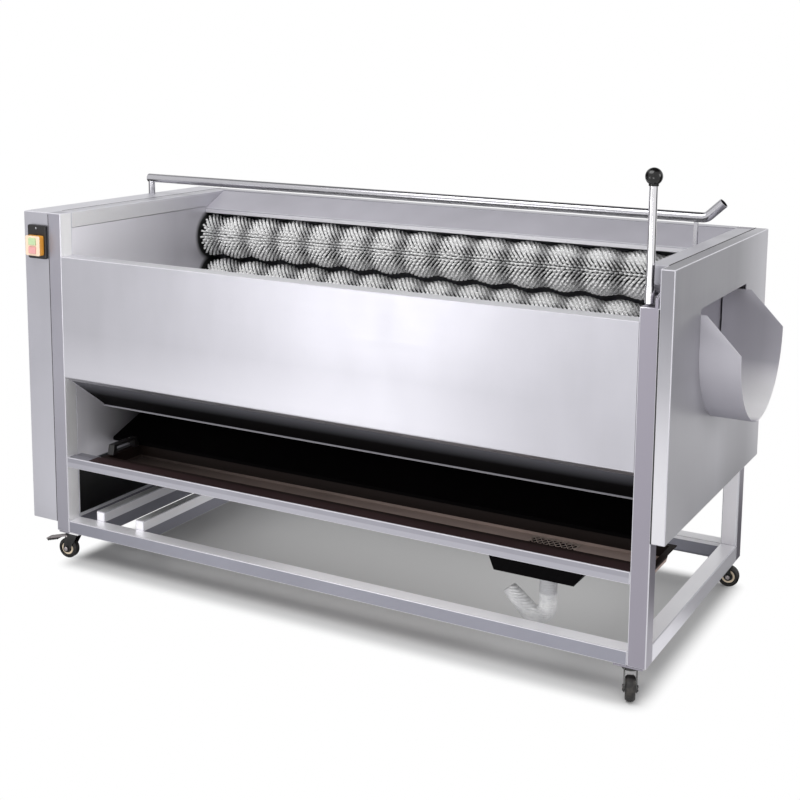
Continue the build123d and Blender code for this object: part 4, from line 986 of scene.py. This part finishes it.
def flagged(finish, direction):
    # black flags overhead and at the sides, which only gloss sees
    share = 1.0
    for aim, start, full, depth in studio["flags"]:
        toward = finish.node("VectorMath", {"operation": "DOT_PRODUCT"}, {
            0: direction, 1: Vector(aim).normalized()}, out="Value")
        share = share * (1 - finish.span(toward, start, full, toLow=0.0, toHigh=depth))
    return share


def makeCamera():
    camera = bpy.data.objects.new("camera", bpy.data.cameras.new("camera"))
    scene.collection.objects.link(camera)
    camera.location = view["place"]
    camera.rotation_euler = [math.radians(v) for v in view["turn"]]
    camera.data.lens, camera.data.sensor_width = view["lens"], view["sensor"]
    camera.data.shift_x, camera.data.shift_y = view["shift"]
    camera.data.clip_start, camera.data.clip_end = view["clip"]
    scene.camera = camera


def makeFloor():
    # grey under the machine, where its shadow falls, and plain white to the eye beyond a soft edge
    clearAll()
    bpy.ops.mesh.primitive_plane_add(size=studio["floorSize"], location=(0, 0, 0))
    floor = newest("floor")
    finish = Finish("floorPale")
    place = finish.place()
    camera, gloss = finish.seenRays()
    gaps = [finish.maths("MAXIMUM", finish.maths("ABSOLUTE", finish.axis(place, axis)) - half, 0.0)
            for axis, half in (("X", studio["halfLength"]), ("Y", studio["halfDepth"]))]
    distance = (gaps[0] * gaps[0] + gaps[1] * gaps[1]) ** 0.5
    glow = finish.maths("MAXIMUM", camera, gloss) * finish.node(
        "MapRange", {"interpolation_type": "SMOOTHSTEP"}, {
            "Value": distance, "From Min": 0.0, "From Max": studio["softEdge"]})
    matt = finish.node("BsdfDiffuse", {}, {"Color": (studio["floorGrey"],) * 3 + (1,)})
    direction = finish.node("VectorMath", {"operation": "NORMALIZE"}, {0: place}, out="Vector")
    light = finish.node("Emission", {}, {"Color": (1, 1, 1, 1),
                                         "Strength": 1 - gloss * (1 - flagged(finish, direction))})
    floor.data.materials.append(finish.surface(finish.node("MixShader", {}, {0: glow, 1: matt, 2: light})))


def makeWorld():
    world = bpy.data.worlds.new("studio")
    scene.world = world
    world.use_nodes = True
    finish = Finish("studio", world.node_tree)
    camera, gloss = finish.seenRays()
    direction = finish.node("TexCoord").of("Generated")
    far = finish.span(finish.axis(direction, "Y"), studio["behindFrom"], studio["behindTo"], toLow=0.0,
                      toHigh=studio["behind"])
    shine = (1 - far) * flagged(finish, direction)
    strength = studio["ambient"] * (1 - camera) * (1 - gloss) + camera + gloss * shine
    finish.surface(finish.node("Background", {}, {"Color": (1, 1, 1, 1), "Strength": strength}), "OutputWorld")


def makeLamp(name, place, aim, size, power, hidden=False):
    lamp = bpy.data.lights.new(name, "AREA")
    lamp.shape, lamp.size, lamp.size_y, lamp.energy = "RECTANGLE", size[0], size[1], power
    obj = bpy.data.objects.new(name, lamp)
    scene.collection.objects.link(obj)
    obj.location = place
    obj.visible_camera = obj.visible_glossy = not hidden
    obj.rotation_euler = (Vector(aim) - Vector(place)).to_track_quat("-Z", "Y").to_euler()


makeCamera()
makeFloor()
makeWorld()
for name, lamp in lamps.items():
    makeLamp(name, **lamp)
print("studio set")
scene.view_settings.view_transform = "Standard"
